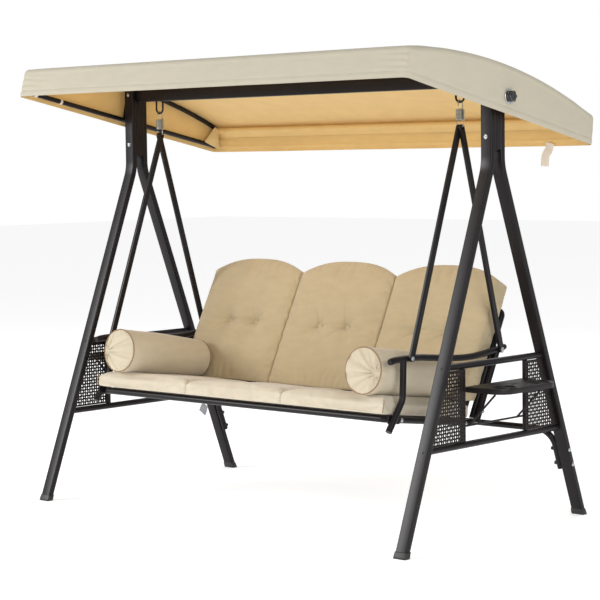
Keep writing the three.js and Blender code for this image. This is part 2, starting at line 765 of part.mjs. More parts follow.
addPair(swing, 'hanger_bar_front', hangerBar(FRONT_BOLT, -HANGER_STACK), METAL);
addPair(swing, 'hanger_bar_rear', hangerBar(REAR_BOLT, HANGER_STACK), METAL);
addPair(swing, 'hanger_bolt_front', hangerBolt(FRONT_BOLT, ARM_X), ZINC);
addPair(swing, 'hanger_bolt_rear', hangerBolt(REAR_BOLT, RAIL_X), ZINC);
addPair(swing, 'armrest', armrest(), METAL);

add(seat, 'seat_front_rail', seatFrontRail(), METAL);
add(seat, 'seat_rear_rail', seatRearRail(), METAL);
addPair(seat, 'seat_side_rail', rodY(45 + GAP, SEAT_DEEP + 14, [RAIL_X, 0], TUBE_RADIUS), METAL);
add(seat, 'seat_sling', sling(-8, SEAT_DEEP + 8), SLING);
add(seat, 'seat_cushion', seatCushion(), CUSHION);
for (const [side, x] of [['left', -BOLSTER_X], ['right', BOLSTER_X]]) {
  const roll = add(seat, `bolster_${side}`, bolster(), CUSHION);
  roll.position.set(x, BOLSTER_FRONT + BOLSTER_LONG / 2, SEAT_CUSHION.high + 0.8 + BOLSTER_RADIUS);
}

addPair(back, 'back_side_tube', backSideTube(), METAL);
add(back, 'back_top_rail', backTopRail(), METAL);
add(back, 'back_sling', sling(-5, BACK_TOP + 8), SLING);
add(back, 'back_cushion', backCushion(), CUSHION);

add(canopy, 'canopy_cover', canopyCover(), CANVAS);
addPair(canopy, 'canopy_lower_rail', canopyLowerRail(), METAL);
addPair(canopy, 'canopy_arch_rail', canopyArchRail(), METAL);
add(canopy, 'canopy_rear_rail', canopyEndRail(1), METAL);
add(canopy, 'canopy_front_rail', canopyEndRail(-1), METAL);
addPair(swing, 'tilt_knob', tiltKnob(), PLASTIC);

export default swing;
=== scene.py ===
"""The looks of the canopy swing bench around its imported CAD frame. Metres in Blender, millimetres in
the shapes below. X is to the right, the front is towards -Y, Z is up, and the floor is at Z 0."""

import itertools
import json
import math

import bmesh
import bpy
import numpy as np
from mathutils import Matrix, Vector

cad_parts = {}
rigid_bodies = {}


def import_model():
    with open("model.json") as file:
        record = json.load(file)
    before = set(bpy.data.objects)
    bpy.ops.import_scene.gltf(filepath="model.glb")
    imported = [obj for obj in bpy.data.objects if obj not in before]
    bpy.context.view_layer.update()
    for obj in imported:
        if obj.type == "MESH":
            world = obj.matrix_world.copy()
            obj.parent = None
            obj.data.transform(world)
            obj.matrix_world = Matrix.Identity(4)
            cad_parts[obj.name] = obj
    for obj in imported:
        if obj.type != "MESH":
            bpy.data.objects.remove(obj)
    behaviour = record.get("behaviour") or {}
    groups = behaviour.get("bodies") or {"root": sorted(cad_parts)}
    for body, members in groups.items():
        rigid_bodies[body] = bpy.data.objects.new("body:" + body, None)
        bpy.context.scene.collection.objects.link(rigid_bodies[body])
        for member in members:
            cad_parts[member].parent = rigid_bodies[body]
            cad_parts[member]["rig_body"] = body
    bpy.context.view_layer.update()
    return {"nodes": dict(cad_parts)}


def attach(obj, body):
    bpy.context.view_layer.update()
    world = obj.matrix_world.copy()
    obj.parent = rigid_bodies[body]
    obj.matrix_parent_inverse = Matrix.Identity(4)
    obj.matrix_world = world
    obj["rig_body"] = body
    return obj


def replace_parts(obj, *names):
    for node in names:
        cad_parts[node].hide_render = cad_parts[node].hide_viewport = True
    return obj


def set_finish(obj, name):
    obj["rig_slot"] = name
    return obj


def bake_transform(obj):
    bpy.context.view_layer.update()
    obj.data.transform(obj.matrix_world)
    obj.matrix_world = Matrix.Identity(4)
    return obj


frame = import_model()
MM = 0.001

# ---------------------------------------------------------------- materials


def colour(text):
    """A linear colour from a hex one."""
    part = [int(text[i : i + 2], 16) / 255 for i in (1, 3, 5)]
    return [c / 12.92 if c <= 0.04045 else ((c + 0.055) / 1.055) ** 2.4 for c in part] + [1]


class Nodes:
    """A short way to build one material's node tree."""

    def __init__(self, name):
        self.material = bpy.data.materials.new(name)
        self.material.use_nodes = True
        self.tree = self.material.node_tree
        self.tree.nodes.clear()
        self.output = self.add("OutputMaterial")
        self.shader = self.add("BsdfPrincipled")
        self.link(self.shader, "BSDF", self.output, "Surface")
        self.coords = self.add("TexCoord")

    def add(self, kind, **settings):
        node = self.tree.nodes.new("ShaderNode" + kind)
        for key, value in settings.items():
            if hasattr(node, key):
                setattr(node, key, value)
            else:
                node.inputs[key.replace("_", " ")].default_value = value
        return node

    def surface(self, **values):
        """Uniform values on the surface shader's own sockets."""
        for key, value in values.items():
            self.shader.inputs[key.replace("_", " ")].default_value = value

    def link(self, a, out, b, into):
        self.tree.links.new(a.outputs[out], b.inputs[into])

    def noise(self, scale, detail=2.0, stretch=(1, 1, 1)):
        mapping = self.add("Mapping")
        mapping.inputs["Scale"].default_value = stretch
        self.link(self.coords, "Object", mapping, "Vector")
        noise = self.add("TexNoise", Scale=scale, Detail=detail)
        self.link(mapping, "Vector", noise, "Vector")
        return noise

    def thread(self, direction, period):
        """Parallel threads a period apart, in metres."""
        wave = self.add("TexWave", bands_direction=direction, wave_profile="SIN")
        wave.inputs["Scale"].default_value = 2 * math.pi / 20 / period
        wave.inputs["Distortion"].default_value = 0.6
        wave.inputs["Detail"].default_value = 1.0
        self.link(self.coords, "Object", wave, "Vector")
        return wave

    def drift(self, pattern, low, high, into):
        """A socket's value that drifts from low to high with a pattern."""
        ramp = self.add("ValToRGB")
        for stop, place, value in zip(ramp.color_ramp.elements, (0.35, 0.65), (low, high)):
            stop.position = place
            stop.color = value
        self.link(pattern, "Fac", ramp, "Fac")
        self.link(ramp, "Color", self.shader, into)

    def bumps(self, *layers):
        """Layers of (pattern, depth in metres, strength), one on top of the other."""
        last = None
        for pattern, depth, strength in layers:
            bump = self.add("Bump")
            bump.inputs["Strength"].default_value = strength
            bump.inputs["Distance"].default_value = depth
            self.link(pattern, "Fac", bump, "Height")
            if last:
                self.link(last, "Normal", bump, "Normal")
            last = bump
        self.link(last, "Normal", self.shader, "Normal")


def scaled(rgba, k):
    return [min(1, c * k) for c in rgba[:3]] + [1]


def powder_coat(name, tone, roughness=0.36):
    m = Nodes(name)
    base = colour(tone)
    m.drift(m.noise(9), scaled(base, 0.85), scaled(base, 1.2), "Base Color")
    m.surface(Specular_IOR_Level=0.19, Roughness=roughness, Coat_Weight=0.04, Coat_Roughness=0.2)
    m.bumps((m.noise(700, 1.0), 0.0002, 0.35))
    return m.material


def fabric(name, tone, period=0.0016, roughness=0.92, axes="XY", sheen=0.3, mottle=0.03, glow=None):
    """A plain weave. A glow is painted light, an emission that stands in for daylight coming through thin
    cloth.
    """
    m = Nodes(name)
    base = colour(tone)
    m.drift(m.noise(14, 3.0, (1, 1, 3)), scaled(base, 1 - mottle), scaled(base, 1 + mottle), "Base Color")
    m.surface(Roughness=roughness, Sheen_Weight=sheen, Sheen_Roughness=0.5, Specular_IOR_Level=0.25)
    # painted light: the emission makes the cloth glow as if daylight shone through it
    if glow:
        m.surface(Emission_Color=colour(glow[0]), Emission_Strength=glow[1])
    weave = [(m.thread(axis, period), 0.0003, 0.35) for axis in axes]
    m.bumps((m.noise(45, 2.0), 0.0012, 0.25), *weave)
    return m.material


def smooth_material(name, tone, roughness, grain=0.02, coat=0.0):
    m = Nodes(name)
    m.surface(Base_Color=colour(tone), Roughness=roughness, Coat_Weight=coat)
    m.bumps((m.noise(500, 2.0), 0.0002, grain))
    return m.material


def brushed(name, tone, roughness):
    m = Nodes(name)
    m.surface(Base_Color=colour(tone), Metallic=1.0)
    grain = m.noise(900, 2.0, (1, 0.15, 0.15))
    m.drift(grain, (roughness * 0.7,) * 3 + (1,), (roughness * 1.3,) * 3 + (1,), "Roughness")
    m.bumps((grain, 0.0001, 0.3))
    return m.material


COAT = powder_coat("dark_bronze_coat", "#171315")
PANEL = powder_coat("panel_coat", "#181211", 0.5)
TRAY_COAT = powder_coat("tray_coat", "#1E1A1B", 0.45)
TUBE_COAT = powder_coat("tube_coat", "#181416")
BLACK_STEEL = powder_coat("black_steel", "#1E1B1B", 0.35)
ZINC = brushed("bright_zinc", "#C9CCD0", 0.28)
WIRE = brushed("spring_wire", "#A5A6A0", 0.34)
CAP = smooth_material("cap_plastic", "#1B191A", 0.48, grain=0.3)
KNOB = smooth_material("knob_plastic", "#141214", 0.16, coat=0.6)
CANVAS = fabric("canopy_outside", "#B3AC9A", 0.0012, 0.8, sheen=0.1, mottle=0.02)
# painted light: the lining and the pockets are toned brighter and more golden than the outside of the same
# cloth, and glow, standing in for daylight through the canopy cloth
LINING = fabric("canopy_inside", "#DCBC80", 0.0012, 0.8, sheen=0.1, glow=("#D8A85C", 0.1))
POCKET = fabric("pocket_cloth", "#D4BC8C", 0.0012, 0.8, sheen=0.1, mottle=0.04, glow=("#D8B270", 0.08))
# one cover fabric in three tones: the back cushion's darker, more golden tone is painted shade from the
# canopy over it
SHADED_CUSHION = fabric("shaded_cushion_cloth", "#B8A786", axes="XZ")
SEAT_CLOTH = fabric("seat_cloth", "#CBC0AB")
ROLL_CLOTH = fabric("bolster_cloth", "#C6BAA2")
WELT = fabric("piping_cloth", "#94795E", 0.0012, 0.9, "XZ", 0.2)
SLING = fabric("sling_mesh", "#57504A", 0.0024, 0.75, "XZ", 0.0, 0.08)
STRAP = fabric("gray_strap", "#7C7C80", 0.002, 0.8, "XZ", 0.1, 0.04)
TIE = fabric("pale_tie", "#DCD3C6", roughness=0.85, axes="YZ", sheen=0.1)

# ---------------------------------------------------------------- mesh tools

SIDES = (("right", 1), ("left", -1))
ENDS = (("rear", 1), ("front", -1))
TUBE_RADIUS = 12.5


def shade(mesh, degrees=35):
    mesh.polygons.foreach_set("use_smooth", [True] * len(mesh.polygons))
    mesh.set_sharp_from_angle(angle=math.radians(degrees))


def cleaned(mesh, faces_up=False):
    """Joins points that meet and turns the faces outwards."""
    bm = bmesh.new()
    bm.from_mesh(mesh)
    bmesh.ops.remove_doubles(bm, verts=bm.verts, dist=1e-6)
    bmesh.ops.recalc_face_normals(bm, faces=bm.faces)
    if faces_up and sum(f.normal.z * f.calc_area() for f in bm.faces) < 0:
        bmesh.ops.reverse_faces(bm, faces=bm.faces)
    bm.to_mesh(mesh)
    bm.free()


def make(name, shape, material, body=None, slot=None, degrees=35, place=None):
    """A piece from a shape, which is its points in millimetres and its faces."""
    points, faces = shape
    mesh = bpy.data.meshes.new(name)
    mesh.from_pydata(
        [tuple(p) for p in np.asarray(points, float) * MM], [], [tuple(int(i) for i in f) for f in faces]
    )
    cleaned(mesh)
    if place is not None:
        mesh.transform(place)
    return finish_piece(name, mesh, material, body, slot, degrees)


def finish_piece(name, mesh, material, body, slot, degrees=35):
    mesh.materials.clear()
    mesh.materials.append(material)
    shade(mesh, degrees)
    obj = bpy.data.objects.new(name, mesh)
    bpy.context.scene.collection.objects.link(obj)
    if body:
        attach(obj, body)
    if slot:
        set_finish(obj, slot)
    return obj


def mirrored(obj, name, body=None, axis=(1, 0, 0)):
    """The same piece on the other side of the middle."""
    mesh = obj.data.copy()
    mesh.name = name
    mesh.transform(Matrix.Scale(-1, 4, axis))
    mesh.flip_normals()
    twin = bpy.data.objects.new(name, mesh)
    bpy.context.scene.collection.objects.link(twin)
    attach(twin, body or obj["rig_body"])
    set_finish(twin, obj["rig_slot"])
    return twin


def pair(obj, node=None, body=None):
    """Names a right-hand piece, makes its left twin, and lets them stand for the CAD pair."""
    base = obj.name
    obj.name = base + "_right"
    twin = mirrored(obj, base + "_left", body)
    if node:
        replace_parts(obj, node + "_right")
        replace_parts(twin, node + "_left")
    return obj, twin


def front_and_rear(obj, node):
    """From the front right piece, the other three."""
    base = obj.name
    for side, piece in (("right", obj), ("left", mirrored(obj, base + "_front_left"))):
        piece.name = f"{base}_front_{side}"
        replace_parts(piece, f"{node}_front_{side}")
        rear = mirrored(piece, f"{base}_rear_{side}", axis=(0, 1, 0))
        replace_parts(rear, f"{node}_rear_{side}")


def modify(obj, kind, **settings):
    """Adds a modifier and applies it."""
    modifier = obj.modifiers.new(kind, kind)
    for key, value in settings.items():
        setattr(modifier, key, value)
    bpy.context.view_layer.update()
    graph = bpy.context.evaluated_depsgraph_get()
    mesh = bpy.data.meshes.new_from_object(obj.evaluated_get(graph), depsgraph=graph)
    obj.modifiers.clear()
    old = obj.data
    obj.data = mesh
    bpy.data.meshes.remove(old)
    return obj


def from_cad(node, material, bevel, degrees):
    """A fresh copy of a CAD node with eased edges, standing for that node."""
    mesh = frame["nodes"][node].data.copy()
    bm = bmesh.new()
    bm.from_mesh(mesh)
    bmesh.ops.remove_doubles(bm, verts=bm.verts, dist=2e-5)
    bmesh.ops.dissolve_limit(bm, angle_limit=math.radians(2), verts=bm.verts, edges=bm.edges)
    clean = bpy.data.meshes.new(node + "_look")
    bm.to_mesh(clean)
    bm.free()
    bpy.data.meshes.remove(mesh)
    obj = finish_piece(node + "_look", clean, material, None, "powder_coat", degrees)
    modify(
        obj, "BEVEL", width=bevel * MM, segments=2, limit_method="ANGLE", angle_limit=math.radians(degrees),
        use_clamp_overlap=True,
    )
    shade(obj.data, degrees)
    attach(obj, frame["nodes"][node]["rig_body"])
    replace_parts(obj, node)


def arc_route(corners, radius, step=6):
    """Corner points joined by straights, with each inner corner turned into an arc."""
    corners = [np.array(c, float) for c in corners]
    points = [corners[0]]
    for i in range(1, len(corners) - 1):
        back = corners[i - 1] - corners[i]
        on = corners[i + 1] - corners[i]
        back /= np.linalg.norm(back)
        on /= np.linalg.norm(on)
        turn = math.pi - math.acos(np.clip(back @ on, -1, 1))
        reach = radius * math.tan(turn / 2)
        inward = (back + on) / np.linalg.norm(back + on)
        centre = corners[i] + inward * radius / math.cos(turn / 2)
        spoke = corners[i] + back * reach - centre
        last = corners[i] + on * reach - centre
        side = last - spoke * (last @ spoke) / radius**2
        side *= radius / np.linalg.norm(side)
        count = max(2, math.ceil(math.degrees(turn) / step))
        for k in range(count + 1):
            a = turn * k / count
            points.append(centre + spoke * math.cos(a) + side * math.sin(a))
    points.append(corners[-1])
    return np.array(points)


def circle(radius, sides=24):
    a = np.linspace(0, 2 * math.pi, sides, endpoint=False)
    return np.column_stack([radius * np.cos(a), radius * np.sin(a)])


def rounded_rect(width, height, radius, per_corner=5):
    points = []
    for sx, sy, start in ((1, 1, 0), (-1, 1, 90), (-1, -1, 180), (1, -1, 270)):
        cx, cy = sx * (width / 2 - radius), sy * (height / 2 - radius)
        for k in range(per_corner + 1):
            a = math.radians(start + 90 * k / per_corner)
            points.append((cx + radius * math.cos(a), cy + radius * math.sin(a)))
    return np.array(points)


def unit(vectors):
    return vectors / np.maximum(np.linalg.norm(vectors, axis=1, keepdims=True), 1e-9)


def bands(rings, sides, joined=False):
    """The faces of a row of rings. Its two ends are joined to each other, or get a face each."""
    faces = []
    for i in range(rings if joined else rings - 1):
        a, b = i * sides, (i + 1) % rings * sides
        faces += [(a + k, a + (k + 1) % sides, b + (k + 1) % sides, b + k) for k in range(sides)]
    if not joined:
        faces += [tuple(range(sides))[::-1], tuple((rings - 1) * sides + k for k in range(sides))]
    return faces


def laid(route, tangent, across, section, size=1.0):
    """The points of a section at each place of a route, its first axis along across."""
    up = np.cross(tangent, across)
    section = np.asarray(section, float)[None] * np.broadcast_to(size, len(route))[:, None, None]
    points = route[:, None] + across[:, None] * section[..., :1] + up[:, None] * section[..., 1:]
    return points.reshape(-1, 3)


def sweep(route, section, side=(1, 0, 0), size=1.0):
    """A section carried along a route that lies square to side, or near it."""
    route = np.asarray(route, float)
    ahead = unit(np.diff(route, axis=0))
    tangent = unit(np.vstack([ahead, ahead[-1:]]) + np.vstack([ahead[:1], ahead]))
    side = np.array(side, float)
    across = unit(side - tangent * (tangent @ side)[:, None])
    return laid(route, tangent, across, section, size), bands(len(route), len(section))


def coiled(route, section):
    """As sweep, for a route that twists in space."""
    tangent = unit(np.gradient(route, axis=0))
    across = np.zeros_like(route)
    across[0] = np.cross(tangent[0], (0.3, 0.5, 0.8))
    across[0] /= np.linalg.norm(across[0])
    for i in range(1, len(route)):
        v = across[i - 1] - tangent[i] * (across[i - 1] @ tangent[i])
        across[i] = v / np.linalg.norm(v)
    return laid(route, tangent, across, section), bands(len(route), len(section))


def tube(name, route, body, place=None, side=(1, 0, 0), radius=TUBE_RADIUS, sides=24):
    shape = sweep(route, circle(radius, sides), side)
    return make(name, shape, TUBE_COAT, body, "powder_coat", 40, place)


def slab(nx, ny, point):
    """A thin closed sheet. point gives the place of a corner from its two shares and its layer."""
    m = ny + 1
    size = (nx + 1) * m
    points = [point(i / nx, j / ny, layer) for layer in (0, 1) for i in range(nx + 1) for j in range(m)]
    faces = []
    for i, j in itertools.product(range(nx), range(ny)):
        a, b, c, d = i * m + j, (i + 1) * m + j, (i + 1) * m + j + 1, i * m + j + 1
        faces += [(a, d, c, b), (a + size, b + size, c + size, d + size)]
    rim = [i * m for i in range(nx + 1)] + [nx * m + j for j in range(1, m)]
    rim += [i * m + ny for i in range(nx - 1, -1, -1)] + list(range(ny - 1, 0, -1))
    faces += [(a, b, b + size, a + size) for a, b in zip(rim, rim[1:] + rim[:1])]
    return points, faces


def together(*shapes):
    """Several shapes as one."""
    points, faces, start = [], [], 0
    for p, f in shapes:
        points.append(np.asarray(p, float))
        faces += [tuple(i + start for i in face) for face in f]
        start += len(p)
    return np.vstack(points), faces


def moved(shape, step):
    return np.asarray(shape[0], float) + step, shape[1]


def turned(shape, axis, origin):
    """A shape made about Z, laid along axis from origin."""
    rotation = np.array(Vector((0, 0, 1)).rotation_difference(Vector(axis)).to_matrix())
    return np.asarray(shape[0]) @ rotation.T + np.array(origin, float), shape[1]


def revolve(profile, sides=32):
    """A profile of (radius, height) turned about Z, closed at both ends."""
    a = np.linspace(0, 2 * math.pi, sides, endpoint=False)
    points = np.array([(r * math.cos(t), r * math.sin(t), z) for r, z in profile for t in a])
    return points, bands(len(profile), sides)


def hexagon(radius, low, high, ease=0.7):
    """A hexagon nut or head along Z with eased corners."""
    return revolve(
        [(radius - ease, low), (radius, low + ease), (radius, high - ease), (radius - ease, high)], 6
    )


def dome_bolt(radius=5.5, high=4.2):
    """A washer with a low domed hexagon socket head, along Z from 0."""
    washer = revolve([(0.1, 0), (radius + 2.2, 0), (radius + 2.4, 0.6), (radius + 2.2, 1.3), (0.1, 1.3)], 24)
    head = revolve(
        [(0.1, 1.2), (radius, 1.2), (radius, 2.2), (radius * 0.82, high), (radius * 0.5, high + 0.9),
         (radius * 0.45, high + 0.9), (radius * 0.4, high - 1.2), (0.1, high - 1.2)], 24,
    )
    return together(washer, head)


def bolt_at(name, origin, axis, body):
    return make(name, turned(dome_bolt(), axis, origin), ZINC, body, "zinc", 30)


# ---------------------------------------------------------------- the A-frames

FRAME_X = 963.0
FOOT_Y, NECK_Y, BEND_Z = 556.0, 31.0, 1382.0
SLOPE = (FOOT_Y - NECK_Y) / BEND_Z
LEAN = math.atan(SLOPE)
LEG_WIDE, LEG_DEEP = 50.0, 25.0
LEG_SECTION = rounded_rect(LEG_WIDE, LEG_DEEP, 5)
RAIL_LEVELS = {"side_top_rail": 654.5, "side_bottom_rail": 362.5}
CROSSBAR_X, CROSSBAR_Z, CROSSBAR_END = 925.2, 348.0, 190.0
# a foot cap's heights, with how far it stands out of the leg at each
CAP_LEVELS = [(0, 3.5), (1.3, 4.9), (9, 4.6), (21.5, 3.4), (23.8, 2.7), (24.6, 1.3), (24.6, -0.3),
              (23, -2.1), (14, -2.4)]


def leg_y(z):
    return FOOT_Y - SLOPE * z


def build_legs():
    route = arc_route(
        [(FRAME_X, -leg_y(5), 5), (FRAME_X, -NECK_Y, BEND_Z), (FRAME_X, -NECK_Y, 1722)], 190, 3
    )
    leg = make("leg_look", sweep(route, LEG_SECTION), COAT, "frame", "powder_coat", 30)
    front_and_rear(leg, "leg")
    rings = []
    for z, grow in CAP_LEVELS:
        ring = LEG_SECTION + unit(LEG_SECTION) * grow + (FRAME_X, -leg_y(z))
        rings.append(np.column_stack([ring, np.full(len(ring), z)]))
    shape = np.vstack(rings), bands(len(rings), len(LEG_SECTION))
    front_and_rear(make("foot_cap_look", shape, CAP, "frame", "black_plastic", 50), "foot_cap")


def build_beam_and_rails():
    end, level, high = FRAME_X + LEG_WIDE / 2, 1697, 36.4
    shape = sweep([(-end, 0, level), (end, 0, level)], rounded_rect(LEG_WIDE, high, 4), (0, 0, 1))
    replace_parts(make("top_beam_look", shape, COAT, "frame", "powder_coat", 30), "top_beam")
    shape = sweep([(FRAME_X, 0, 1440), (FRAME_X, 0, 1671.5)], rounded_rect(LEG_WIDE, high, 3.5))
    pair(make("centre_post_look", shape, COAT, "frame", "powder_coat", 30), "centre_post")
    shape = sweep([(FRAME_X, 0, 1436.5), (FRAME_X, 0, 1441)], rounded_rect(30, 22, 2))
    pair(make("centre_post_plug", shape, CAP, "frame", "black_plastic", 30))
    for name, z in RAIL_LEVELS.items():
        y = leg_y(z) - 11
        pair(tube(name + "_look", [(FRAME_X, -y, z), (FRAME_X, y, z)], "frame"), name)
    foot, knee = (leg_y(CROSSBAR_END), CROSSBAR_END), (leg_y(CROSSBAR_Z), CROSSBAR_Z)
    corners = [(-CROSSBAR_X, *foot), (-CROSSBAR_X, *knee), (CROSSBAR_X, *knee), (CROSSBAR_X, *foot)]
    bar = tube("rear_crossbar_look", arc_route(corners, 70, 5), "frame", side=(0, 0.95, 0.3))
    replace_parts(bar, "rear_crossbar")


def build_frame_bolts():
    corners = ((-1, 1), (1, 1), (-1, -1), (1, -1))
    for n, ((end, side), z) in enumerate(itertools.product(corners, (1702, 1488))):
        place = (side * FRAME_X, end * (NECK_Y + LEG_DEEP / 2), z)
        bolt_at(f"neck_bolt_{n + 1}", place, (0, end, 0), "frame")
    plug = revolve([(0.1, 0), (5, 0), (5, 0.8), (4, 1.6), (0.1, 1.8)], 16)
    for label, side in SIDES[::-1]:
        for i, z in enumerate((270, 210)):
            y = leg_y(z)
            outer = side * (FRAME_X + LEG_WIDE / 2)
            bolt_at(f"crossbar_bolt_{label}_{i}", (outer, y, z), (side, 0, 0), "frame")
            nut = turned(hexagon(8, 0, 9), (-side, 0, 0), (side * (CROSSBAR_X - TUBE_RADIUS + 0.3), y, z))
            make(f"crossbar_nut_{label}_{i}", nut, BLACK_STEEL, "frame", "powder_coat", 30)
        levels = enumerate(RAIL_LEVELS.values())
        for (i, z), (letter, end) in itertools.product(levels, (("f", -1), ("r", 1))):
            axis = (0, end * math.cos(LEAN), math.sin(LEAN))
            origin = (side * FRAME_X, end * (leg_y(z) + LEG_DEEP / 2 / math.cos(LEAN)), z)
            shape = turned(plug, axis, origin)
            make(f"rail_bolt_{label}_{i}_{letter}", shape, BLACK_STEEL, "frame", "powder_coat", 30)


def build_panels():
    """Each panel is a thin sheet with rows of round holes, and an upright along its inner edge."""
    low, high, inner = 375.3, 641.7, 187.0
    clear = TUBE_RADIUS / math.cos(LEAN) + 0.6
    pitch, margin, large, small = 12.7, 10.5, 4.2, 2.7
    curve = bpy.data.curves.new("panel", "CURVE")
    curve.dimensions = "2D"
    curve.fill_mode = "BOTH"
    curve.extrude = 0.7 * MM

    def loop(points):
        spline = curve.splines.new("POLY")
        spline.points.add(len(points) - 1)
        for p, (y, z) in zip(spline.points, points):
            p.co = (y * MM, z * MM, 0, 1)
        spline.use_cyclic_u = True

    loop([(leg_y(low) - clear, low), (inner, low), (inner, high), (leg_y(high) - clear, high)])
    # the holes are on a square lattice, large and small by turns
    for row, z in enumerate(np.arange(low + margin, high - margin + 2, pitch)):
        for column, y in enumerate(np.arange(inner + margin, leg_y(z) - clear - margin + 1, pitch)):
            hole = large if (row + column) % 2 else small
            loop(circle(hole, 12) + (y, z))
    shape = bpy.data.objects.new("panel", curve)
    bpy.context.scene.collection.objects.link(shape)
    bpy.context.view_layer.update()
    graph = bpy.context.evaluated_depsgraph_get()
    sheet = bpy.data.meshes.new_from_object(shape.evaluated_get(graph), depsgraph=graph)
    bpy.data.objects.remove(shape)
    bm = bmesh.new()
    bm.from_mesh(sheet)
    for v in bm.verts:
        y, z, x = v.co
        v.co = (x + (FRAME_X + 7.2) * MM, -y, z)
    x, y = FRAME_X - 1, -inner - 9
    points, faces = sweep([(x, y, low), (x, y, high)], rounded_rect(14, 20, 2.5, 3))
    upright = [bm.verts.new(Vector(p) * MM) for p in points]
    for f in faces:
        bm.faces.new([upright[i] for i in f])
    bm.to_mesh(sheet)
    bm.free()
    cleaned(sheet)
    panel = finish_piece("side_panel_look", sheet, PANEL, "frame", "perforated_sheet", 30)
    front_and_rear(panel, "side_panel")


# ---------------------------------------------------------------- hooks, springs and hanger bars

HOOK_X, HOOK_HALF, HOOK_BEND = 812.0, 19.5, 1639.5
COIL_RADIUS, COIL_TOP, COIL_LOW = 15.0, 1594.0, 1552.0
ARM_X, RAIL_X = 793.7, 768.3
FRONT_BOLT, REAR_BOLT = (-302.0, 681.0), (248.4, 670.0)


def build_hooks():
    """U-bolts through the beam, with a nut above it and a collar below it on each leg."""
    left, right, low, top = HOOK_X - HOOK_HALF, HOOK_X + HOOK_HALF, HOOK_BEND - HOOK_HALF, 1731
    route = arc_route([(left, 0, top), (left, 0, low), (right, 0, low), (right, 0, top)], 19, 8)
    parts = [sweep(route, circle(4, 16), (0, 1, 0))]
    collar = revolve([(4, 1668.6), (8.5, 1668.6), (8.5, 1670.2), (4, 1670.4)], 20)
    for x in (left, right):
        parts += [moved(hexagon(7.5, 1722.4, 1728.8), (x, 0, 0)), moved(collar, (x, 0, 0))]
    pair(make("hook_bolt_look", together(*parts), BLACK_STEEL, "frame", "black_steel", 35), "hook_bolt")


def spring_route():
    """A hook over the bolt's bend, a close coil, and a hook through the hanger bars."""
    points = [(HOOK_X, 13 * math.cos(a), 1614 + 13 * math.sin(a)) for a in np.radians(np.arange(225, -1, -9))]
    points += [(HOOK_X, 14.2, 1606), (HOOK_X - 0.4, COIL_RADIUS, 1598)]
    turns, per_turn = 8.25, 26
    steps = int(turns * per_turn)
    for k in range(1, steps + 1):
        a = math.pi / 2 + 2 * math.pi * k / per_turn
        z = COIL_TOP - (COIL_TOP - COIL_LOW) * k / steps
        points.append((HOOK_X + COIL_RADIUS * math.cos(a), COIL_RADIUS * math.sin(a), z))
    near, far, low = HOOK_X - COIL_RADIUS, HOOK_X + COIL_RADIUS, 1527
    hook = arc_route([(near, -1.5, 1549), (near, 0, low), (far, 0, low), (far, 0, 1545)], 9, 10)
    return np.vstack([points, hook])


def build_springs():
    points, faces = coiled(spring_route(), circle(2.25, 10))
    for side, sign in SIDES:
        spring = make(f"spring_{side}_look", (points * (sign, 1, 1), faces), WIRE, None, "zinc", 60)
        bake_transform(spring)
        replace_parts(spring, f"spring_{side}")


def build_hangers():
    for name, (side, _) in itertools.product(("hanger_bar_front", "hanger_bar_rear"), SIDES):
        from_cad(f"{name}_{side}", COAT, 1.2, 28)
    outer = HOOK_X + 5.8
    for name, (y, z), inner in (
        ("hanger_bolt_front", FRONT_BOLT, ARM_X - 12.8),
        ("hanger_bolt_rear", REAR_BOLT, RAIL_X - 12.8),
    ):
        long = outer - inner + 12
        shape = together(
            turned(dome_bolt(6.6, 4.0), (1, 0, 0), (outer, y, z)),
            turned(hexagon(7.2, 0, 6.2), (-1, 0, 0), (inner, y, z)),
            turned(revolve([(0.1, 0), (4, 0), (4, long), (0.1, long)], 12), (1, 0, 0), (inner - 9, y, z)),
        )
        pair(make(name + "_look", shape, ZINC, "swing", "zinc", 30), name)


def smooth_line(points, count):
    """A rounded line through the given points (Catmull-Rom)."""
    p = np.asarray(points, float)
    p = np.vstack([2 * p[0] - p[1], p, 2 * p[-1] - p[-2]])
    out = []
    for i in range(1, len(p) - 2):
        for t in np.linspace(0, 1, count, endpoint=False):
            a, b, c, d = p[i - 1], p[i], p[i + 1], p[i + 2]
            out.append(0.5 * (2 * b + (c - a) * t + (2 * a - 5 * b + 4 * c - d) * t**2
                              + (3 * b - a - 3 * c + d) * t**3))
    out.append(p[-2])
    return np.array(out)


# ---------------------------------------------------------------- the bench frame

SEAT_TILT = math.radians(7.5)
BACK_RISE = math.radians(63)
SEAT = Matrix.Translation((0, -0.388, 0.462)) @ Matrix.Rotation(-SEAT_TILT, 4, "X")
BACK = Matrix.Translation((0, 0.121, 0.420)) @ Matrix.Rotation(BACK_RISE, 4, "X")
REAR_FOOT = (110.0, 398.0)


def seat_point(s, t):
    """A place in the seat's own frame, s to the rear and t up, as the bench's Y and Z."""
    return (
        -388 + s * math.cos(SEAT_TILT) + t * math.sin(SEAT_TILT),
        462 - s * math.sin(SEAT_TILT) + t * math.cos(SEAT_TILT),
    )


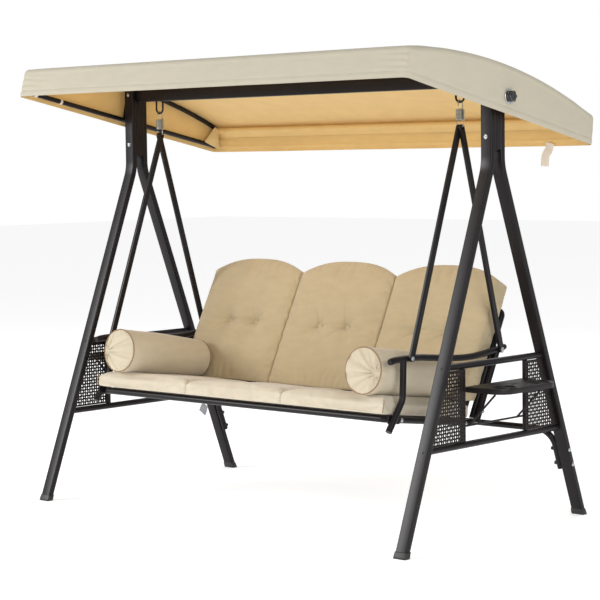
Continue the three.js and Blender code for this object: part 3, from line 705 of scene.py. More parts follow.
def build_armrests():
    profile = [(-406, 674.5), (-380, 679.3), (-345, 681), FRONT_BOLT, (-235, 678.5), (-155, 671),
               (-40, 660), (60, 655.5), (140, 659), (200, 664.5), REAR_BOLT, (296, 677)]
    line = smooth_line([(ARM_X, y, z) for y, z in profile], 5)
    size = np.ones(len(line))
    size[[0, -1]] = 0.86
    arm = sweep(line, circle(TUBE_RADIUS), size=size)
    front = arc_route([(ARM_X, -327, 676), (ARM_X, -333, 532), (ARM_X, -416, 420)], 60, 5)
    rear = [(ARM_X, *REAR_FOOT), (ARM_X, 246, 665)]
    tab = [(ARM_X - 10.3, *seat_point(s, 0)) for s in (-18, 48)]
    shape = together(
        arm, sweep(front, circle(TUBE_RADIUS)), sweep(rear, circle(TUBE_RADIUS)),
        sweep(tab, rounded_rect(3.6, 30, 1.6, 3)),
    )
    pair(make("armrest_look", shape, TUBE_COAT, "swing", "powder_coat", 40), "armrest")
    for name, (y, z), x in (
        ("tab_bolt", seat_point(60, 0), ARM_X - 8.4),
        ("post_bolt", (137, 440.4), ARM_X + 12.4),
        ("side_bolt", seat_point(455, -4), RAIL_X + 12),
    ):
        pair(bolt_at(name, (x, y, z), (1, 0, 0), "swing"))


def hoop(node, base, top, bend, step, place):
    """A tube across the bench that turns round a corner at each end."""
    corners = [(-RAIL_X, base, 0), (-RAIL_X, top, 0), (RAIL_X, top, 0), (RAIL_X, base, 0)]
    rail = tube(node + "_look", arc_route(corners, bend, step), "swing", place, (0, 0, 1))
    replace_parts(rail, node)


def build_bench_frame():
    hoop("seat_front_rail", 45, 0, 32, 6, SEAT)
    reach = RAIL_X - 12
    rail = tube("seat_rear_rail_look", [(-reach, 490, 0), (reach, 490, 0)], "swing", SEAT, (0, 0, 1))
    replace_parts(rail, "seat_rear_rail")
    pair(tube("seat_side_rail_look", [(RAIL_X, 45.2, 0), (RAIL_X, 504, 0)], "swing", SEAT), "seat_side_rail")
    top, bend = 440, 24
    start = top - bend - 5
    hoop("back_top_rail", start, top, bend, 5, BACK)
    side = tube("back_side_tube_look", [(RAIL_X, -7.5, 0), (RAIL_X, start - 0.2, 0)], "swing", BACK)
    pair(side, "back_side_tube")


def build_slings():
    """Each sling is pulled between two tubes and hollowed a little under the cushion."""
    half, thick, level, sag = 745, 1.6, 13.1, 3
    for node, low, high, place, flat in (
        ("seat_sling", -8, 498, SEAT, (1.49, 0.506)), ("back_sling", -5, 448, BACK, (1.49, 0.453))
    ):
        def point(u, v, layer):
            across = 2 * u - 1
            dip = sag * (1 - across**2) * math.sin(math.pi * v)
            return across * half, low + (high - low) * v, level - dip + layer * thick

        sling = make(node + "_look", slab(60, 24, point), SLING, "swing", "sling_fabric", 50, place)
        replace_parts(sling, node)


# ---------------------------------------------------------------- cushions

HALF = 776.0
SKIN_HALF = HALF - 3
SEAMS = (-258.7, 258.7)
BUTTON_APART, BUTTON_Y = 152.0, 303.0
BUTTONS = [
    (centre + side * BUTTON_APART / 2, BUTTON_Y) for centre in (-517.3, 0.0, 517.3) for side in (-1, 1)
]
BOLSTER = {"half": 238.0, "front": -40.0, "radius": 90.0, "x": 664.0}


def lattice(*size):
    """The surface of a box of cells, as the cell corner at each point and the faces."""
    index, faces = {}, []
    for a, b, c in ((0, 1, 2), (0, 2, 1), (1, 2, 0)):
        for p, q, level in itertools.product(range(size[a]), range(size[b]), (0, size[c])):
            face = []
            for dp, dq in ((0, 0), (1, 0), (1, 1), (0, 1)):
                key = [0, 0, 0]
                key[a], key[b], key[c] = p + dp, q + dq, level
                face.append(index.setdefault(tuple(key), len(index)))
            faces.append(face[::-1] if (level == 0) == (c != 1) else face)
    return np.array(list(index), float), faces


def inflate(obj, pressure, cap, held, frames=20, slack=0.02):
    """Swells a cushion's cover as sewn cloth under air pressure. held is how firmly each point stays."""
    rest = np.array([v.co for v in obj.data.vertices])
    group = obj.vertex_groups.new(name="held")
    for i, w in enumerate(held):
        if w > 0:
            group.add([i], float(w), "REPLACE")
    cloth = obj.modifiers.new("Cloth", "CLOTH")
    cloth.settings.quality = 5
    cloth.settings.mass = 0.3
    cloth.settings.tension_stiffness = 15
    cloth.settings.compression_stiffness = 10
    cloth.settings.shear_stiffness = 5
    cloth.settings.bending_stiffness = 0.35
    cloth.settings.use_pressure = True
    cloth.settings.uniform_pressure_force = pressure
    cloth.settings.shrink_min = -slack
    cloth.settings.vertex_group_mass = "held"
    cloth.settings.effector_weights.gravity = 0
    cloth.collision_settings.use_collision = False
    cloth.point_cache.frame_start = 1
    cloth.point_cache.frame_end = frames
    scene = bpy.context.scene
    for f in range(1, frames + 1):
        scene.frame_set(f)
    graph = bpy.context.evaluated_depsgraph_get()
    mesh = obj.evaluated_get(graph).to_mesh()
    moved = np.array([v.co for v in mesh.vertices])
    obj.evaluated_get(graph).to_mesh_clear()
    obj.modifiers.clear()
    obj.vertex_groups.clear()
    scene.frame_set(1)
    # no point goes further than the cap
    step = moved - rest
    far = np.linalg.norm(step, axis=1, keepdims=True)
    step *= cap * np.tanh(far / cap) / np.maximum(far, 1e-9)
    obj.data.vertices.foreach_set("co", (rest + step).ravel())
    obj.data.update()


def groove(x, centres, half):
    """How near x is to a seam, from 0 to 1."""
    return sum(np.exp(-(((x - c) / half) ** 2)) for c in centres)


def columns(half, spacing=8.5):
    """Stations across a cushion, closer together at its two seams."""
    even = np.linspace(-half, half, 2 * round(half / spacing) + 1)
    far = np.min([np.abs(even - c) for c in SEAMS], axis=0) > 12
    close = [c + d for c in SEAMS for d in (-12, -8.5, -5.5, -3, -1.2, 0, 1.2, 3, 5.5, 8.5, 12)]
    return np.sort(np.concatenate([even[far], close]))


def press(obj, place, change):
    """Moves the points of a piece by a rule given in its own millimetre frame."""
    flat = np.empty(len(obj.data.vertices) * 3)
    obj.data.vertices.foreach_get("co", flat)
    inverse = np.array(place.inverted())
    local = (flat.reshape(-1, 3) @ inverse[:3, :3].T + inverse[:3, 3]) / MM
    back = np.array(place)
    obj.data.vertices.foreach_set("co", ((change(local) * MM) @ back[:3, :3].T + back[:3, 3]).ravel())
    obj.data.update()


def welt(name, line, radius, closed=True):
    """A piped seam along a line of points in metres."""
    line = np.asarray(line) / MM
    for _ in range(3):
        if closed:
            line = (np.roll(line, 1, 0) + 2 * line + np.roll(line, -1, 0)) / 4
        else:
            line[1:-1] = (line[:-2] + 2 * line[1:-1] + line[2:]) / 4
    ahead = np.roll(line, -1, 0) - np.roll(line, 1, 0)
    if not closed:
        ahead[0], ahead[-1] = line[1] - line[0], line[-1] - line[-2]
    ahead = unit(ahead)
    out = line - line.mean(0)
    out = unit(out - ahead * (out * ahead).sum(1, keepdims=True))
    section = circle(radius, 8)
    shape = laid(line, ahead, out, section), bands(len(line), len(section), closed)
    make(name, shape, WELT, "swing", "cushion_fabric", 60)


def sewn(node, shape, material, held, pressure, cap, place, creases):
    """A cushion from its cover's shape: blown up, put in place, and creased."""
    cushion = make(node + "_look", shape, material, None, "cushion_fabric", 60)
    inflate(cushion, pressure, cap, held)
    cushion.data.transform(place)
    modify(cushion, "SUBSURF", levels=1)
    press(cushion, place, creases)
    shade(cushion.data, 80)
    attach(cushion, "swing")
    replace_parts(cushion, node)
    return cushion


def seat_creases(p):
    """Sewn lines, gathers beside them, and the soft unevenness of a filled cover."""
    x, y, t = p.T
    p = p.copy()
    top = np.clip((t - 55) / 20, 0, 1)
    nose = np.clip((-26 - y) / 14, 0, 1)
    line = groove(x, SEAMS, 3.4)
    beside = groove(x, SEAMS, 24) - groove(x, SEAMS, 8)
    p[:, 2] -= top * (5.5 * line + 1.5 * beside * np.sin(y / 6.5 + x / 23))
    p[:, 1] += nose * (6.0 * line + 1.8 * beside * np.sin(t / 4.2 + x / 15))
    corner = np.exp(-(((np.abs(x) - HALF) / 34) ** 2)) * np.clip((HALF - 3 - np.abs(x)) / 8, 0, 1)
    p[:, 1] += nose * 2.6 * corner * np.sin((t + (HALF - np.abs(x)) * 0.5) / 3.4)
    p[:, 2] += top * (1.6 * np.sin(x / 61 + 1.3) * np.sin(y / 83 + 0.4) + 0.5 * np.sin(x / 27 + y / 45))
    p[:, 1] += nose * (1.8 * np.sin(x / 74 + 0.9) + 0.5 * np.sin(x / 31 + t / 20))
    p[:, 2] = np.maximum(p[:, 2], 16.6)
    return p


def build_seat_cushion():
    xs = columns(SKIN_HALF)
    ny, nz = 58, 9
    cells, faces = lattice(len(xs) - 1, ny, nz)
    v, w = cells[:, 1] / ny, cells[:, 2] / nz
    x = xs[cells[:, 0].astype(int)]
    front, rear, low, high = -36.0, 474.0, 17.0, 70.0
    s = front + (rear - front) * v
    seam = groove(x, SEAMS, 9)
    inside = np.clip(np.minimum(SKIN_HALF - np.abs(x), np.minimum(s - front, rear - s)) / 20, 0, 1)
    drop = (1 - inside) ** 2
    t = low + (high - low - 8 * drop - 7 * seam) * w + 4 * drop * (1 - w)
    s += seam * 5 * np.clip(1 - v * 6, 0, 1)
    on_seam = np.isin(np.round(x, 2), np.round(SEAMS, 2))
    upright = (np.abs(np.abs(x) - SKIN_HALF) < 0.01) & ((v < 0.01) | (v > 0.99))
    held = np.max(
        [w < 0.02, on_seam & ((w > 0.98) | (v < 0.01)), 0.9 * upright, 0.6 * (v > 0.98)], axis=0
    ).astype(float)
    shape = np.column_stack([x, s, t]), faces
    sewn("seat_cushion", shape, SEAT_CLOTH, held, 3.6, 0.016, SEAT, seat_creases)
    for side, sign in SIDES:
        line = [(sign * (HALF - 1), -39 + 2 * math.cos(t / 9), t) for t in range(22, 73, 5)]
        line = [SEAT @ (Vector(p) * MM) for p in line]
        welt(f"seat_corner_welt_{side}", line, 1.9, closed=False)


def arch_top(x):
    """How high the back cushion's outline is at x, with three arches side by side."""
    wide = 2 * HALF / 3
    part = ((x + HALF) / wide) % 1.0
    part = np.where(np.abs(x - HALF) < 1e-6, 1.0, part)
    return 536 + 61 * (1 - np.abs(2 * part - 1) ** 2.6)


def back_creases(p):
    """Sewn lines, the pull of the buttons, and the slack of the cover."""
    x, y, n = p.T
    p = p.copy()
    front = np.clip((n - 62) / 16, 0, 1)
    depth = 6.0 * groove(x, SEAMS, 3.2)
    depth += (groove(x, SEAMS, 26) - groove(x, SEAMS, 8)) * 1.2 * np.sin(y / 8.0 + x / 30)
    for i, (bx, by) in enumerate(BUTTONS):
        dx, dy = x - bx, y - by
        far = np.hypot(dx, dy)
        depth += 12.0 * np.exp(-((far / 15) ** 2)) + 9.0 * np.exp(-((far / 38) ** 2))
        inner = -1 if i % 2 else 1
        for ax, ay, long, deep in (
            (inner, 0.0, 120, 9.0), (-inner, 0.05, 60, 6.0), (-0.75, -0.65, 95, 9.0), (0.55, -0.83, 65, 5.0),
            (-0.2, 0.98, 95, 6.5), (0.8, 0.6, 75, 6.0),
        ):
            size = math.hypot(ax, ay)
            along = (dx * ax + dy * ay) / size
            aside = (dx * ay - dy * ax) / size
            fade = np.clip(along / 8, 0, 1) * np.exp(-np.clip(along, 0, None) / long * 1.4)
            depth += deep * fade * np.exp(-((aside / (3.6 + 0.06 * np.abs(along))) ** 2))
    low = np.exp(-(((y - 185) / 60) ** 2))
    depth += 2.3 * low * np.sin(y / 11.0 + 1.6 * np.sin(x / 70 + 1)) * (0.5 + 0.5 * np.sin(x / 51))
    high = np.exp(-(((y - 470) / 70) ** 2))
    depth += 1.5 * high * np.sin(y / 14.0 + 1.2 * np.sin(x / 90)) * (0.5 + 0.5 * np.sin(x / 67 + 2))
    depth += 2.0 * np.sin(x / 63 + 0.5) * np.sin(y / 71 + 0.7)
    p[:, 2] -= front * depth
    # the end bands crumple a little where the cover is slack
    end = np.clip((np.abs(x) - HALF + 8) / 8, 0, 1)
    crumple = 1.6 * np.sin(y / 8.5 + n / 17) + 1.1 * np.sin(y / 19 - n / 11 + 1)
    crumple += 0.8 * np.sin(n / 7 + y / 40)
    p[:, 0] -= np.sign(x) * end * (1.2 + 0.8 * crumple)
    p[:, 2] = np.maximum(p[:, 2], 17.0)
    return p


def build_back_cushion():
    xs = columns(SKIN_HALF)
    ny, nz = 66, 9
    cells, faces = lattice(len(xs) - 1, ny, nz)
    v, w = cells[:, 1] / ny, cells[:, 2] / nz
    x = xs[cells[:, 0].astype(int)]
    behind, thick = 17.5, 72.0
    n = behind + thick * w
    # the lower edge is cut to lie flat on the seat cushion
    bottom = 27.5 + math.tan(math.pi / 2 - BACK_RISE - SEAT_TILT) * (101.2 - n)
    top = arch_top(x * HALF / SKIN_HALF) - 2
    y = bottom + (top - bottom) * v
    inside = np.clip(np.minimum(SKIN_HALF - np.abs(x), np.minimum(y - bottom, top - y)) / 22, 0, 1)
    n -= (7 * (1 - inside) ** 2 + 5 * groove(x, SEAMS, 9)) * w
    on_seam = np.isin(np.round(x, 2), np.round(SEAMS, 2))
    rim = (np.abs(np.abs(x) - SKIN_HALF) < 0.01) | (v > 0.995)
    buttoned = np.any([np.hypot(x - bx, y - by) < 6 for bx, by in BUTTONS], axis=0)
    held = np.max(
        [w < 0.02, on_seam & ((w > 0.98) | (v > 0.98)), 0.75 * (rim & (w > 0.98)), 0.6 * (v > 0.995),
         v < 0.01, buttoned & (w > 0.98)], axis=0,
    ).astype(float)
    shape = np.column_stack([x, y, n]), faces
    # the back cushion and its buttons carry the painted shade, a darker tone than the seat's cloth
    return sewn("back_cushion", shape, SHADED_CUSHION, held, 3.4, 0.015, BACK, back_creases)


def build_buttons(cushion):
    facing = (BACK.to_3x3() @ Vector((0, 0, 1))).normalized()
    profile = [(0.1, -3), (10, -3), (12, 1.5), (12.4, 4.2), (11.4, 6.2), (8.5, 7.0), (5, 6.2), (0.1, 5.8)]
    for i, (x, y) in enumerate(BUTTONS):
        place = cushion.ray_cast(BACK @ Vector((x * MM, y * MM, 0.3)), -facing)[1]
        shape = turned(revolve(profile, 24), facing, place / MM)
        make(f"button_{i + 1}", shape, SHADED_CUSHION, "swing", "cushion_fabric", 60)


def bolster_point(kind, r, y, a, sign):
    """Where a point of the roll's skin lies, for its ring's radius and place and its angle."""
    half = BOLSTER["half"]
    if kind == "end":
        # gathers run from one pinched place near the outer rim across to the far rim
        qx, qz = r * math.cos(a) - 66 * sign, r * math.sin(a) + 6.0
        far = math.hypot(qx, qz)
        b = math.atan2(qz, -qx * sign)
        fold = math.sin(11 * b + 1.1 * math.sin(3 * b)) + 0.4 * math.sin(27 * b + 1.0)
        fold = math.copysign(abs(fold) ** 0.7, fold)
        fade = min(1, far / 22) * min(1, (88 - r) / 9)
        dome = 17 * (1 - (r / 86) ** 2.4)
        pinch = 8 * math.exp(-((far / 14) ** 2))
        y += math.copysign(1, y) * (dome + 4.6 * fold * fade - pinch)
    elif kind == "side":
        t = (y + half) / (2 * half)
        near = math.exp(-((t * 2 * half / 30) ** 2)) + math.exp(-(((1 - t) * 2 * half / 30) ** 2))
        r += 1.3 * math.sin(34 * a + 1.5 * math.sin(3 * a)) * near
        r += (1.4 + 0.9 * math.sin(2.3 * a + 9 * t)) * math.sin(math.pi * t)
    return r * math.cos(a), y, max(r * math.sin(a), -88.6 - 0.5 * math.cos(a))


def tapered(points, y):
    """The roll is a little thinner towards its rear end, and lies level on the seat."""
    half, radius = BOLSTER["half"], BOLSTER["radius"]
    thin = 1 - 0.11 * ((y + half) / (2 * half)) ** 1.6
    return [(px * thin, py, (pz + radius) * thin - radius) for px, py, pz in points]


def build_bolsters():
    """A filled roll with gathered end discs and a piped edge at each end."""
    half = BOLSTER["half"]
    front = [(r, -half + 7, "end") for r in np.linspace(1.5, 82, 24)]
    front += [(86.0, -half + 6.5, "edge"), (87.6, -half + 11, "edge")]
    rings = front + [(88.2, -half + 11 + (2 * half - 22) * t, "side") for t in np.linspace(0.02, 0.98, 54)]
    rings += [(r, -y, kind) for r, y, kind in front[::-1]]
    turn = np.linspace(0, 2 * math.pi, 128, endpoint=False)
    for side, sign, yaw in (("left", -1, 0.5), ("right", 1, -0.8)):
        points = []
        for r, y, kind in rings:
            points += tapered([bolster_point(kind, r, y, a, sign) for a in turn], y)
        centre = Vector((sign * BOLSTER["x"], BOLSTER["front"] + half, 81.4 + BOLSTER["radius"])) * MM
        place = SEAT @ Matrix.Translation(centre) @ Matrix.Rotation(math.radians(yaw), 4, "Z")
        shape = points, bands(len(rings), len(turn))
        roll = make(f"bolster_{side}_look", shape, ROLL_CLOTH, "swing", "cushion_fabric", 60, place)
        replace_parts(roll, f"bolster_{side}")
        for label, end in ENDS[::-1]:
            y = end * (half - 7.5)
            ring = tapered([(px, y, pz) for px, pz in circle(87.0, 96)], y)
            ring = [place @ (Vector(p) * MM) for p in ring]
            welt(f"bolster_{side}_{label}_piping", ring, 3.0)


# ---------------------------------------------------------------- trays and struts


def build_trays():
    for side, _ in SIDES:
        from_cad(f"side_tray_{side}", TRAY_COAT, 0.7, 30)
    x, z, step, wire = 957, 430, 170 * math.sqrt(0.5), circle(4, 16)
    parts = [sweep([(x, -185.7, z), (x, 185.7, z)], wire)]
    parts += [sweep([(x, y, z), (x + step, y, z + step)], wire, (0, 1, 0)) for y in (-150, 150)]
    strut = make("tray_strut_look", together(*parts), BLACK_STEEL, "strut_right", "powder_coat", 40)
    pair(strut, "tray_strut", "strut_left")


# ---------------------------------------------------------------- the canopy

TILT = math.radians(11.7)
PIVOT = Matrix.Translation((0, 0, 1.634))
CANOPY = PIVOT @ Matrix.Rotation(-TILT, 4, "X")
RAIL_OUT, RAIL_RADIUS, LOW_RAIL, END_RAIL, END_LEVEL = 1018.0, 10.0, -41.0, 562.0, 28.0
SHIFT = -8.0
CORNER, HEM, BAND = 24.0, -65.0, 24.0
TOP_X, TOP_Y = 1037.0 - CORNER, 581.0 - CORNER


def crown(y):
    """The height of the arch over the knobs' axis. The cover and its rails sit a little to the front."""
    return 117.0 - (y - SHIFT) ** 2 / 4980


def top_height(x, y):
    """The cover sags a little between its rails and is drawn into folds near the ends."""
    v = (y - SHIFT) / TOP_Y
    sag = 8 * (1 - (x / TOP_X) ** 2) * max(0.0, 1 - v**2)
    pull = math.sin(y / 21.0 + 0.6) * math.exp(-(((abs(x) - 1010) / 60) ** 2)) * abs(v) ** 4
    return crown(y) - sag + pull


def canopy_top():
    """The arched top of the cover, with its edge points in turn and the way each of them faces."""
    n = 96
    ring = np.linspace(-1, 1, n + 1)
    points = [(x, y, top_height(x, y)) for x in TOP_X * ring for y in TOP_Y * ring + SHIFT]
    m = n + 1
    faces = [
        (i * m + j, (i + 1) * m + j, (i + 1) * m + j + 1, i * m + j + 1) for i in range(n) for j in range(n)
    ]
    edges = (
        (270, [i * m for i in range(m)]), (0, [n * m + j for j in range(m)]),
        (90, [i * m + n for i in range(n, -1, -1)]), (180, list(range(n, -1, -1))),
    )
    rim = []
    for degrees, edge in edges:
        rim += [(i, degrees) for i in edge]
        rim += [(edge[-1], degrees + turn) for turn in range(12, 90, 13)]
    return points, faces, rim


def valance_out(bx, by, z, start, ox, oy):
    """How far the hanging edge stands out of its own straight fall."""
    along = by if abs(ox) > 0.7 else bx
    low = min(1.0, max(0.0, (start - z) / (start - HEM)))
    wave = (1.5 * math.sin(along / 118 + 0.8) + 0.8 * math.sin(along / 47 + 2)) * low
    out = 5.0 * abs(oy) * low + wave * 0.8 + 1.4 * math.sin(math.pi * low)
    if abs(oy) > 0.7:
        # short level gathers beside each corner
        near = math.exp(-(((TOP_X - abs(bx)) / 95) ** 2))
        out += 1.5 * near * math.sin(z / 3.9 + along / 60) * math.sin(math.pi * min(1, low * 1.2)) ** 0.5
    if abs(ox) > 0.7:
        # the knob draws the cloth in, with a few folds towards it
        far = math.hypot(by, z * 1.1)
        b = math.atan2(z, by)
        out -= 4.5 * math.exp(-((far / 26) ** 2))
        out += 1.4 * math.sin(7 * b + 0.7) * math.exp(-((far / 48) ** 2)) * min(1, far / 22)
    return out


def valance_rows():
    """The rows of the hanging edge: its kind, its share of the way, and how proud the cloth lies."""
    rows = [("bend", a, 0.0) for a in (12, 24, 36, 48, 60, 72, 84, 90)]
    rows += [("fall", t, 0.0) for t in np.linspace(0.06, 0.95, 17)]
    rows += [("stitch", 1.6, -1.0), ("stitch", -0.4, -0.6)]
    rows += [("hem", t, 1.4 * math.sin(math.pi * min(1, t + 0.12)) + 0.6) for t in (0.15, 0.5, 0.85, 1.0)]
    return rows


def build_canopy():
    points, faces, rim = canopy_top()
    count, stitch = len(rim), HEM + BAND
    last = [base for base, _ in rim]
    for kind, value, proud in valance_rows():
        ring = []
        for base, degrees in rim:
            bx, by, bz = points[base]
            ox, oy = math.cos(math.radians(degrees)), math.sin(math.radians(degrees))
            start = bz - CORNER
            if kind == "bend":
                b = math.radians(value)
                out, z = CORNER * math.sin(b), bz - CORNER * (1 - math.cos(b))
            else:
                z = {
                    "fall": start + (stitch - start) * value,
                    "stitch": stitch + value,
                    "hem": stitch - 2.4 - (BAND - 2.4) * value,
                }[kind]
                out = CORNER - 0.6 + valance_out(bx, by, z, start, ox, oy) + proud
            ring.append(len(points))
            points.append((bx + ox * out, by + oy * out, z))
        faces += [(last[k], last[(k + 1) % count], ring[(k + 1) % count], ring[k]) for k in range(count)]
        last = ring
    # at the corners the first row fans out from one point
    fan = [tuple(dict.fromkeys(f)) for f in faces]
    mesh = bpy.data.meshes.new("canopy")
    mesh.from_pydata([tuple(c * MM for c in p) for p in points], [], [f for f in fan if len(f) > 2])
    cleaned(mesh, faces_up=True)
    mesh.materials.append(CANVAS)
    mesh.materials.append(LINING)
    cover = bpy.data.objects.new("canopy_cover_look", mesh)
    bpy.context.scene.collection.objects.link(cover)
    modify(cover, "SOLIDIFY", thickness=1.6 * MM, offset=-1, material_offset=1, material_offset_rim=0)
    cover.data.transform(CANOPY)
    shade(cover.data, 60)
    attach(cover, "canopy")
    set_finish(cover, "canopy_fabric")
    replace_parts(cover, "canopy_cover")


def canopy_cloth(name, shape, material):
    return make(name, shape, material, "canopy", "canopy_fabric", 60, CANOPY)


def build_sleeves():
    """A cloth sleeve round each end rail, with a tail that runs down the valance."""
    around = [(11.6 * math.cos(a), 11.6 * math.sin(a)) for a in np.radians(np.arange(80, 261, 15))]
    path = np.array([(12, 10), *around, (9, -19), (15.5, -27)])
    ahead = unit(np.gradient(path, axis=0))
    inner = path + np.column_stack([ahead[:, 1], -ahead[:, 0]]) * 1.2
    loop = np.vstack([path, inner[::-1]])
    xs = np.linspace(-1004, 1004, 61)
    m = len(loop)
    faces = bands(len(xs), m)[:-2]
    # the ends are closed across the thin band
    for base, flip in ((0, 1), ((len(xs) - 1) * m, -1)):
        for k in range(m // 2 - 1):
            faces.append((base + k, base + k + 1, base + m - 2 - k, base + m - 1 - k)[::flip])
    for label, end in ENDS:
        points = []
        for x, (y, z) in itertools.product(xs, loop):
            soft = 0.5 * math.sin(x / 37 + z / 6) * (abs(z) > 13)
            points.append((x, end * (END_RAIL + y + soft) + SHIFT, END_LEVEL + z))
        sleeve = canopy_cloth(f"canopy_sleeve_{label}", (points, faces), LINING)


def build_pockets():
    """A patch across each corner that the ends of the rails go into."""
    upper = np.array([(1003, 538, 42), (1000, 560, 34)])
    lower = np.array([(1004, 486, -37), (986, 566, -58)])
    for label, end in ENDS:
        def point(u, v, layer):
            x, y, z = (upper[0] * (1 - v) + upper[1] * v) * (1 - u) + (lower[0] * (1 - v) + lower[1] * v) * u
            x -= 9 * math.sin(math.pi * u) * math.sin(math.pi * v) + 1.1 * layer
            return x, end * y + SHIFT, z

        for piece in pair(canopy_cloth(f"canopy_pocket_{label}", slab(12, 12, point), POCKET)):
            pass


def build_rail_wraps():
    turn = np.linspace(0, 2 * math.pi, 32, endpoint=False)
    for name, y, wide in (("rail_wrap", -519.0, 16.0), ("rail_strap", -380.0, 12.0)):
        rings = [(10.3, -wide / 2), (11.5, 0.8 - wide / 2), (11.5, wide / 2 - 0.8), (10.3, wide / 2)]
        points = [
            (RAIL_OUT + r * math.cos(a), y + dy, LOW_RAIL + r * math.sin(a)) for r, dy in rings for a in turn
        ]
        pair(canopy_cloth(name, (points, bands(len(rings), len(turn), joined=True)), TIE))


def build_canopy_frame():
    under, x = 13.5, RAIL_OUT
    ys = np.linspace(-500, 500, 33) + SHIFT
    top = [(x, y, crown(y) - under) for y in ys]
    end = END_RAIL + SHIFT
    rear = arc_route([top[-1], (x, end, crown(end) - under - 1), (x, end, -51)], 24, 8)[1:]
    front = [(x, 2 * SHIFT - y, z) for x, y, z in rear[::-1]]
    route = np.vstack([front, top, rear])
    arch = tube("canopy_arch_rail_look", route, "canopy", CANOPY, radius=RAIL_RADIUS, sides=20)
    pair(arch, "canopy_arch_rail")
    half = 551.5
    shape = together(
        sweep([(x, SHIFT - half, LOW_RAIL), (x, SHIFT + half, LOW_RAIL)], circle(RAIL_RADIUS, 20)),
        sweep([(1005.7, 0, -47), (1005.7, 0, 103)], rounded_rect(4.4, 60, 1.2, 3)),
        sweep([(1010, 0, -46), (1010, 0, -36)], rounded_rect(8, 58, 2, 3)),
    )
    lower = make("canopy_lower_rail_look", shape, TUBE_COAT, "canopy", "powder_coat", 40, CANOPY)
    pair(lower, "canopy_lower_rail")
    for label, sign in ENDS:
        y = SHIFT + sign * END_RAIL
        route = [(-1008, y, END_LEVEL), (1008, y, END_LEVEL)]
        rail = tube(f"canopy_{label}_rail_look", route, "canopy", CANOPY, (0, 0, 1), RAIL_RADIUS, 20)
        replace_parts(rail, f"canopy_{label}_rail")


def build_knobs():
    """A lobed hand knob, a bright washer behind it, and its stud."""
    a = np.linspace(0, 2 * math.pi, 72, endpoint=False)
    middle = 20.6
    levels = [(1042, 0.80), (1043, 0.95), (1045, 1.0), (1054, 1.02), (1057, 1.0), (1059, 0.93), (1060, 0.8),
              (1059.6, 0.55), (1059.2, 0.1)]
    points = []
    for x, size in levels:
        lobed = min(1, max(0, (size - 0.1) / 0.7))
        ring = (middle + 1.8 * np.cos(6 * a) * lobed) * size
        points += [(x, r * math.cos(t), r * math.sin(t)) for r, t in zip(ring, a)]
    grip = points, bands(len(levels), len(a))
    stud = turned(revolve([(0.1, 0), (5, 0), (5, 76), (0.1, 76)], 16), (1, 0, 0), (968, 0, 0))
    right = make("tilt_knob_look", together(grip, stud), KNOB, "knob_right", "black_plastic", 45, PIVOT)
    pair(right, "tilt_knob", "knob_left")
    washer = revolve([(6, 0), (27, 0), (28, 1.0), (27, 2.2), (6, 2.4)], 40)
    washer = turned(washer, (1, 0, 0), (1039.6, 0, 0))
    pair(make("knob_washer", washer, ZINC, "knob_right", "zinc", 40, PIVOT), None, "knob_left")


# ---------------------------------------------------------------- straps


def ribbon(name, corners, wide, thick, material, body, slot):
    """A flat strap along a line, as a thin closed piece."""
    shape = sweep(smooth_line(corners, 6), rounded_rect(wide, thick, thick * 0.45, 2), (1, 0, 0))
    make(name, shape, material, body, slot, 60)


def build_straps():
    line = [(-163, -398, 448), (-167, -401, 440), (-173, -400, 429), (-184, -397, 414)]
    ribbon("gray_strap", line, 36, 1.6, STRAP, "swing", "cushion_fabric")
    line = [(835, 549, 1466), (828, 551, 1440), (814, 549, 1415), (811, 547, 1374)]
    ribbon("canopy_tie", line, 38, 1.2, TIE, "canopy", "canopy_fabric")


# ---------------------------------------------------------------- stage, lights and camera


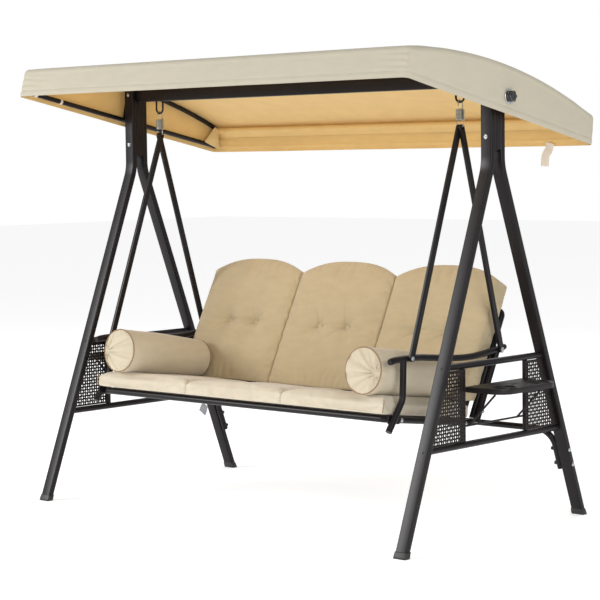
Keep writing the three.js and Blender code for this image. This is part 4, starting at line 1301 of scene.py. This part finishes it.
def build_stage():
    mesh = bpy.data.meshes.new("floor")
    half, level = 30, -0.0005
    corners = [(x * half, y * half, level) for x, y in ((-1, -1), (1, -1), (1, 1), (-1, 1))]
    mesh.from_pydata(corners, [], [(0, 1, 2, 3)])
    material = smooth_material("pale_floor", "#F4F4F4", 0.9)
    shader = next(n for n in material.node_tree.nodes if n.type == "BSDF_PRINCIPLED")
    shader.inputs["Emission Color"].default_value = (1, 1, 1, 1)
    shader.inputs["Emission Strength"].default_value = 0.48
    mesh.materials.append(material)
    floor = bpy.data.objects.new("floor", mesh)
    bpy.context.scene.collection.objects.link(floor)

    world = bpy.data.worlds.new("studio")
    bpy.context.scene.world = world
    world.use_nodes = True
    # the backdrop is white, and the room's own light is softer than that
    tree = world.node_tree
    sky = tree.nodes["Background"]
    sky.inputs["Color"].default_value = (1, 1, 1, 1)
    sky.inputs["Strength"].default_value = 0.5
    backdrop = tree.nodes.new("ShaderNodeBackground")
    seen = tree.nodes.new("ShaderNodeLightPath")
    either = tree.nodes.new("ShaderNodeMixShader")
    tree.links.new(seen.outputs["Is Camera Ray"], either.inputs[0])
    tree.links.new(sky.outputs[0], either.inputs[1])
    tree.links.new(backdrop.outputs[0], either.inputs[2])
    tree.links.new(either.outputs[0], tree.nodes["World Output"].inputs["Surface"])
    backdrop.inputs["Color"].default_value = (1, 1, 1, 1)

    def area(name, place, target, size, power):
        light = bpy.data.lights.new(name, "AREA")
        light.shape = "RECTANGLE"
        light.size, light.size_y = size
        light.energy = power
        obj = bpy.data.objects.new(name, light)
        bpy.context.scene.collection.objects.link(obj)
        obj.location = place
        obj.rotation_mode = "QUATERNION"
        obj.rotation_quaternion = (Vector(target) - Vector(place)).to_track_quat("-Z", "Y")

    area("key", (-4.6, -5.4, 3.2), (0, 0, 0.7), (2.2, 2.2), 315)
    area("fill", (6.0, -3.0, 2.6), (0, 0, 0.8), (3.0, 3.0), 185)
    area("rear", (-1.5, 5.5, 4.5), (0, 0, 1.2), (4.0, 2.5), 60)


def build_camera():
    """At the fitted angle: 42.3 degrees round to the right, 4.1 degrees down, rolled by -0.77."""
    azimuth, down, roll = math.radians(42.301), math.radians(4.115), math.radians(-0.768)
    back = Vector((math.sin(azimuth) * math.cos(down), -math.cos(azimuth) * math.cos(down), math.sin(down)))
    right = Vector((math.cos(azimuth), math.sin(azimuth), 0))
    up = back.cross(right)
    across = right * math.cos(roll) + up * math.sin(roll)
    above = up * math.cos(roll) - right * math.sin(roll)
    camera = bpy.data.cameras.new("camera")
    camera.lens = 116.17
    camera.sensor_width = 36
    camera.clip_end = 200
    obj = bpy.data.objects.new("camera", camera)
    bpy.context.scene.collection.objects.link(obj)
    obj.matrix_world = Matrix(
        (
            (across.x, above.x, back.x, 5.2588),
            (across.y, above.y, back.y, -5.7910),
            (across.z, above.z, back.z, 1.4091),
            (0, 0, 0, 1),
        )
    )
    bpy.context.scene.camera = obj
    bpy.context.scene.view_settings.view_transform = "Standard"


build_legs()
build_beam_and_rails()
build_frame_bolts()
build_panels()
build_hooks()
build_springs()
build_hangers()
build_armrests()
build_bench_frame()
build_slings()
build_seat_cushion()
back_pad = build_back_cushion()
build_bolsters()
build_buttons(back_pad)
build_trays()
build_canopy()
build_canopy_frame()
build_sleeves()
build_pockets()
build_rail_wraps()
build_knobs()
build_straps()
build_stage()
build_camera()
